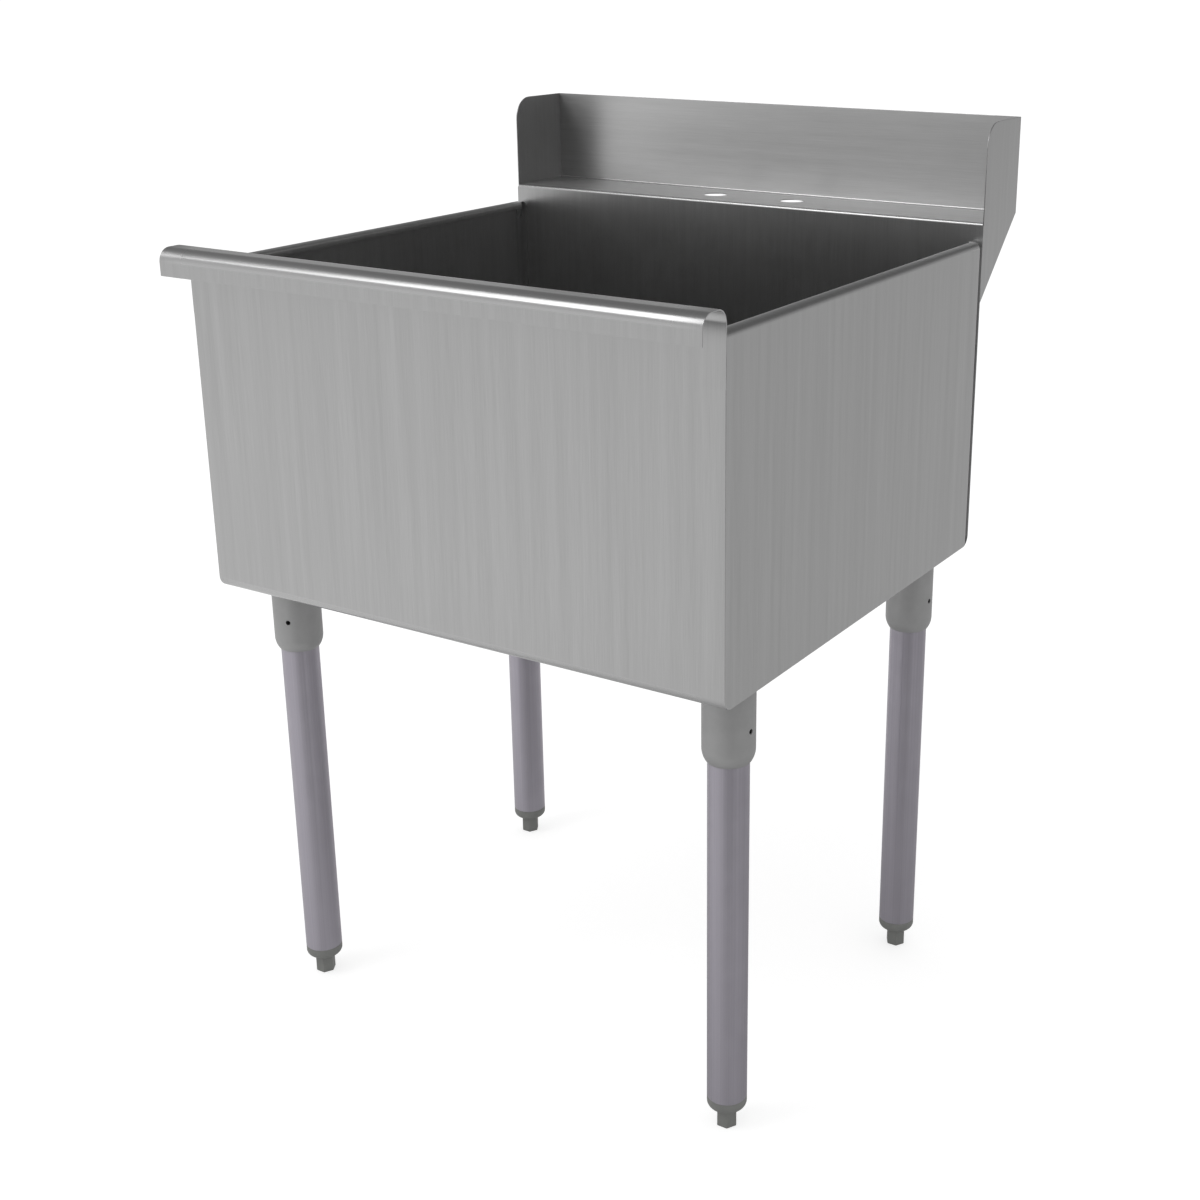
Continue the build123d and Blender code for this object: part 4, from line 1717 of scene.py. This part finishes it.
@dataclass
class Studio:
    """A white floor under a white sky, with one soft lamp to the front left.

    Metal sees a shaded studio instead of plain white, so that its faces differ in tone. Its sky is
    pale in front, dims behind, and is dark at the front right.
    """

    floor_radius: float = 60.0
    floor_steps: int = 96
    floor_glow: float = 0.68
    floor_white: str = "bcbcbc"
    floor_cloud: str = "c0c0c0"
    cloud_scale: float = 1.5
    mirror_glow: float = 0.3  # what metal sees of the floor, over its own shade
    side_glow: float = 0.2  # painted pool of light: more of it to the left, less to the right
    side_reach: float = 0.4
    painted_sink_shadow: float = -0.2  # painted shadow: less of it under the sink
    under_reach: float = 0.45
    dark_floor: float = 0.6  # painted shade: less of it far out at the dark end of the studio
    dark_reach: Point = (1.2, 3.0)
    daylight: float = 0.75  # the sky on matt surfaces
    front_sky: Point = (0.78, 0.3)  # what metal sees in front, at the horizon and overhead
    left_sky: float = 0.2  # share by which that is brighter to the left
    back_sky: Point = (0.5, 0.16)  # what it sees behind, at the horizon and above it
    back_fall: Point = (0.16, 0.36)  # sines of the heights between which the sky behind dims
    back_left: float = 0.12  # how much lighter that is to the left
    turn: float = 0.3  # how gradually one sky passes into the other
    dark_way: Corner = (0.6, -0.8, 0.05)  # metal sees the dark end of the studio here, at the front right
    dark_edge: Point = (0.85, 0.97)  # cosines of the angles from that way between which it fades in
    dark_share: float = 0.75  # how much of the sky in front it takes away
    high_sky: float = 0.8  # sine of the height from which the sky in front is as it is overhead
    lamp_place: tuple[float, float, float] = (-1.25, -1.86, 2.88)
    lamp_aim: tuple[float, float, float] = (0.3, -0.31, 0.83)
    lamp_size: Point = (1.3, 1.5)
    lamp_power: float = 18.0

    def seen(self, tree: bpy.types.NodeTree, direct: Socket | float, mirrored: Socket | float,
             rest: Socket | float) -> Socket:
        """Picks a strength by the kind of ray.

        Args:
            tree: The floor's or the world's tree.
            direct: Strength that the camera sees.
            mirrored: Strength that metal shows.
            rest: Strength that lights the object.

        Returns:
            The strength.
        """
        path = add_node(tree, "ShaderNodeLightPath")
        shiny = maths(tree, "MAXIMUM", path.outputs["Is Glossy Ray"], path.outputs["Is Transmission Ray"])
        other = add_node(tree, "ShaderNodeMix", {0: shiny, 2: rest, 3: mirrored}).outputs[0]
        picked = add_node(tree, "ShaderNodeMix", {0: path.outputs["Is Camera Ray"], 2: other, 3: direct})
        return picked.outputs[0]

    def darkness(self, tree: bpy.types.NodeTree, way: Socket) -> Socket:
        """Says how much a way, or a place on the floor, lies at the dark end of the studio.

        Args:
            tree: The floor's or the world's tree.
            way: The way, of any length.

        Returns:
            1 at the dark end, 0 away from it.
        """
        unit = add_node(tree, "ShaderNodeVectorMath", {0: way}, operation="NORMALIZE").outputs["Vector"]
        cosine = add_node(tree, "ShaderNodeVectorMath", {0: unit, 1: self.dark_way}, operation="DOT_PRODUCT")
        return ranged(tree, cosine.outputs["Value"], 0.0, 1.0, *self.dark_edge)

    def floor(self) -> None:
        """Lays a round floor that looks white and still takes the sink's shadow."""
        material, tree, output = new_material("white_studio_floor")
        place = add_node(tree, "ShaderNodeTexCoord").outputs["Object"]
        away = add_node(tree, "ShaderNodeVectorMath", {0: place}, operation="LENGTH").outputs["Value"]
        right = add_node(tree, "ShaderNodeSeparateXYZ", {0: place}).outputs["X"]
        across = maths(tree, "DIVIDE", right, maths(tree, "ADD", away, self.side_reach))
        spot = maths(tree, "POWER", maths(tree, "DIVIDE", away, self.under_reach), 2.0)
        under = maths(tree, "EXPONENT", maths(tree, "MULTIPLY", spot, -1.0))
        # Painted light in what metal sees of the floor: a brighter pool to the left, a painted shadow under
        # the sink, and painted shade far out at the dark end
        level = maths(tree, "SUBTRACT", self.mirror_glow, maths(tree, "MULTIPLY", across, self.side_glow))
        level = maths(tree, "ADD", level, maths(tree, "MULTIPLY", under, self.painted_sink_shadow))
        level = maths(tree, "SUBTRACT", level, maths(tree, "MULTIPLY", self.darkness(tree, place), ranged(
            tree, away, 0.0, self.dark_floor, *self.dark_reach)))
        strength = self.seen(tree, self.floor_glow, level, 0.0)
        glow = add_node(tree, "ShaderNodeEmission", {"Color": (1.0, 1.0, 1.0, 1.0), "Strength": strength})
        cloud = add_node(tree, "ShaderNodeTexNoise", {
            "Vector": place, "Scale": self.cloud_scale, "Detail": 2.0}).outputs["Fac"]
        paint = blended(tree, cloud, linear(self.floor_white), linear(self.floor_cloud))
        matt = add_node(tree, "ShaderNodeBsdfDiffuse", {"Color": paint})
        both = add_node(tree, "ShaderNodeAddShader", {0: glow.outputs[0], 1: matt.outputs[0]})
        tree.links.new(both.outputs[0], output.inputs["Surface"])
        ring = [(self.floor_radius * math.cos(math.tau * i / self.floor_steps),
                 self.floor_radius * math.sin(math.tau * i / self.floor_steps), 0.0)
                for i in range(self.floor_steps)]
        skin = Surface("studio_floor")
        skin.face([skin.point(place, place[:2]) for place in ring])
        made = skin.piece()
        made.data.materials.append(material)
        made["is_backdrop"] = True

    def sky(self) -> None:
        """Makes the world, white to the camera and shaded to metal."""
        world = bpy.data.worlds.new("pale_studio")
        world.use_nodes = True
        tree = world.node_tree
        tree.nodes.clear()
        seen_way = add_node(tree, "ShaderNodeTexCoord").outputs["Generated"]
        way = add_node(tree, "ShaderNodeSeparateXYZ", {0: seen_way})
        up = maths(tree, "MAXIMUM", way.outputs["Z"], 0.0)
        left = maths(tree, "MULTIPLY", way.outputs["X"], -1.0)
        brighter = maths(tree, "ADD", maths(tree, "MULTIPLY", left, self.left_sky), 1.0)
        front = maths(tree, "MULTIPLY", ranged(tree, up, *self.front_sky, 0.0, self.high_sky), brighter)
        dark = maths(tree, "MULTIPLY", self.darkness(tree, seen_way), self.dark_share)
        dim = maths(tree, "SUBTRACT", 1.0, dark)
        behind = ranged(tree, up, *self.back_sky, *self.back_fall)
        behind = maths(tree, "ADD", behind, maths(tree, "MULTIPLY", left, self.back_left))
        side = ranged(tree, way.outputs["Y"], 0.0, 1.0, -self.turn, self.turn)
        level = add_node(tree, "ShaderNodeMix", {
            0: side, 2: maths(tree, "MULTIPLY", front, dim), 3: behind}).outputs[0]
        strength = self.seen(tree, 1.0, level, self.daylight)
        back = add_node(tree, "ShaderNodeBackground", {"Color": (1.0, 1.0, 1.0, 1.0), "Strength": strength})
        end = add_node(tree, "ShaderNodeOutputWorld", {"Surface": back.outputs[0]})
        end.is_active_output = True
        bpy.context.scene.world = world

    def lamp(self) -> None:
        """Hangs the soft lamp."""
        light = bpy.data.lights.new("front_left_softbox", "AREA")
        light.shape, light.energy = "RECTANGLE", self.lamp_power
        light.size, light.size_y = self.lamp_size
        made = bpy.data.objects.new("front_left_softbox", light)
        bpy.context.scene.collection.objects.link(made)
        place = Vector(self.lamp_place)
        aim = (Vector(self.lamp_aim) - place).to_track_quat("-Z", "Y").to_matrix().to_4x4()
        made.matrix_world = Matrix.Translation(place) @ aim

    def build(self) -> None:
        """Sets up the whole studio."""
        self.floor()
        self.sky()
        self.lamp()
        bpy.context.scene.view_settings.view_transform = "Standard"


@dataclass
class Viewpoint:
    """The camera that took the photo, worked out from points measured in it."""

    place: tuple[float, float, float] = (1.00318, -1.47112, 1.10904)
    yaw: float = math.radians(31.07)
    tilt: float = math.radians(71.115)
    roll: float = math.radians(0.092)
    lens: float = 51.8903
    shift: Point = (-0.09375, -0.04825)
    sensor: float = 36.0
    far: float = 500.0

    def build(self) -> None:
        """Places the camera."""
        data = bpy.data.cameras.new("photo_camera")
        data.sensor_width, data.lens = self.sensor, self.lens
        data.shift_x, data.shift_y = self.shift
        data.clip_end = self.far
        camera = bpy.data.objects.new("photo_camera", data)
        bpy.context.scene.collection.objects.link(camera)
        turn = Matrix.Rotation(self.yaw, 4, "Z") @ Matrix.Rotation(self.tilt, 4, "X")
        camera.matrix_world = Matrix.Translation(self.place) @ turn @ Matrix.Rotation(self.roll, 4, "Z")
        bpy.context.scene.camera = camera


def main() -> None:
    """Builds every piece, then the studio and the camera."""
    logging.basicConfig(level=logging.INFO, format="%(message)s")
    finishes = Finishes()
    bowl = FoldedBowl()
    finishes.placed(bowl.build(), "stainless_sheet", "sink", "basin_wrapper")
    for side, name in ((1, "right"), (-1, "left")):
        finishes.placed(SidePanel(bowl, side).build(), "stainless_sheet", "sink", f"side_panel_{name}")
        finishes.placed(EndReturn(bowl, side).build(), "stainless_sheet", "sink", f"end_return_{name}")
    legs = [Leg(name) for name in LEGS]
    for leg in legs:
        finishes.placed(leg.socket(), "cast_socket", "sink", f"leg_socket_{leg.name}")
        finishes.placed(leg.tube(), "plated_tube", "sink", f"leg_tube_{leg.name}")
        finishes.placed(leg.insert(), "foot_polymer", "sink", f"foot_insert_{leg.name}")
        foot = Foot(leg).build(finishes.made["foot_polymer"])
        finishes.placed(foot, "foot_polymer", f"foot_{leg.name}", f"adjustable_foot_{leg.name}")
    screws = SetScrews(legs).build(finishes.made["black_screw"])
    finishes.placed(screws, "black_screw", "sink", "socket_set_screws")
    drain = Drain(bowl)
    steel = finishes.made["drain_stainless"]
    finishes.placed(drain.body(steel), "drain_stainless", "sink", "strainer_body")
    gasket, washer = drain.rings()
    finishes.placed(gasket, "drain_rubber", "sink", "drain_gasket")
    finishes.placed(washer, "drain_fibre", "sink", "drain_friction_washer")
    finishes.placed(drain.locknut(finishes.made["drain_nut"]), "drain_nut", "sink", "drain_locknut")
    finishes.placed(drain.basket(steel), "drain_stainless", "basket", "strainer_basket")
    finishes.placed(drain.handle(), "drain_stainless", "basket", "basket_post")
    finishes.placed(drain.stopper(), "drain_rubber", "basket", "basket_stopper_seal")
    Studio().build()
    Viewpoint().build()
    {"cad": plain(CAD_BOX), "visual": plain(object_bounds())}


def plain(value: object) -> object:
    """Turns vectors and tuples into plain lists.

    Args:
        value: A number, a string, or a nest of them.

    Returns:
        The same as plain lists and dictionaries.
    """
    if isinstance(value, (int, float, str)) or value is None:
        return value
    if isinstance(value, dict):
        return {key: plain(part) for key, part in value.items()}
    return [plain(part) for part in value]


if __name__ == "__main__":
    main()
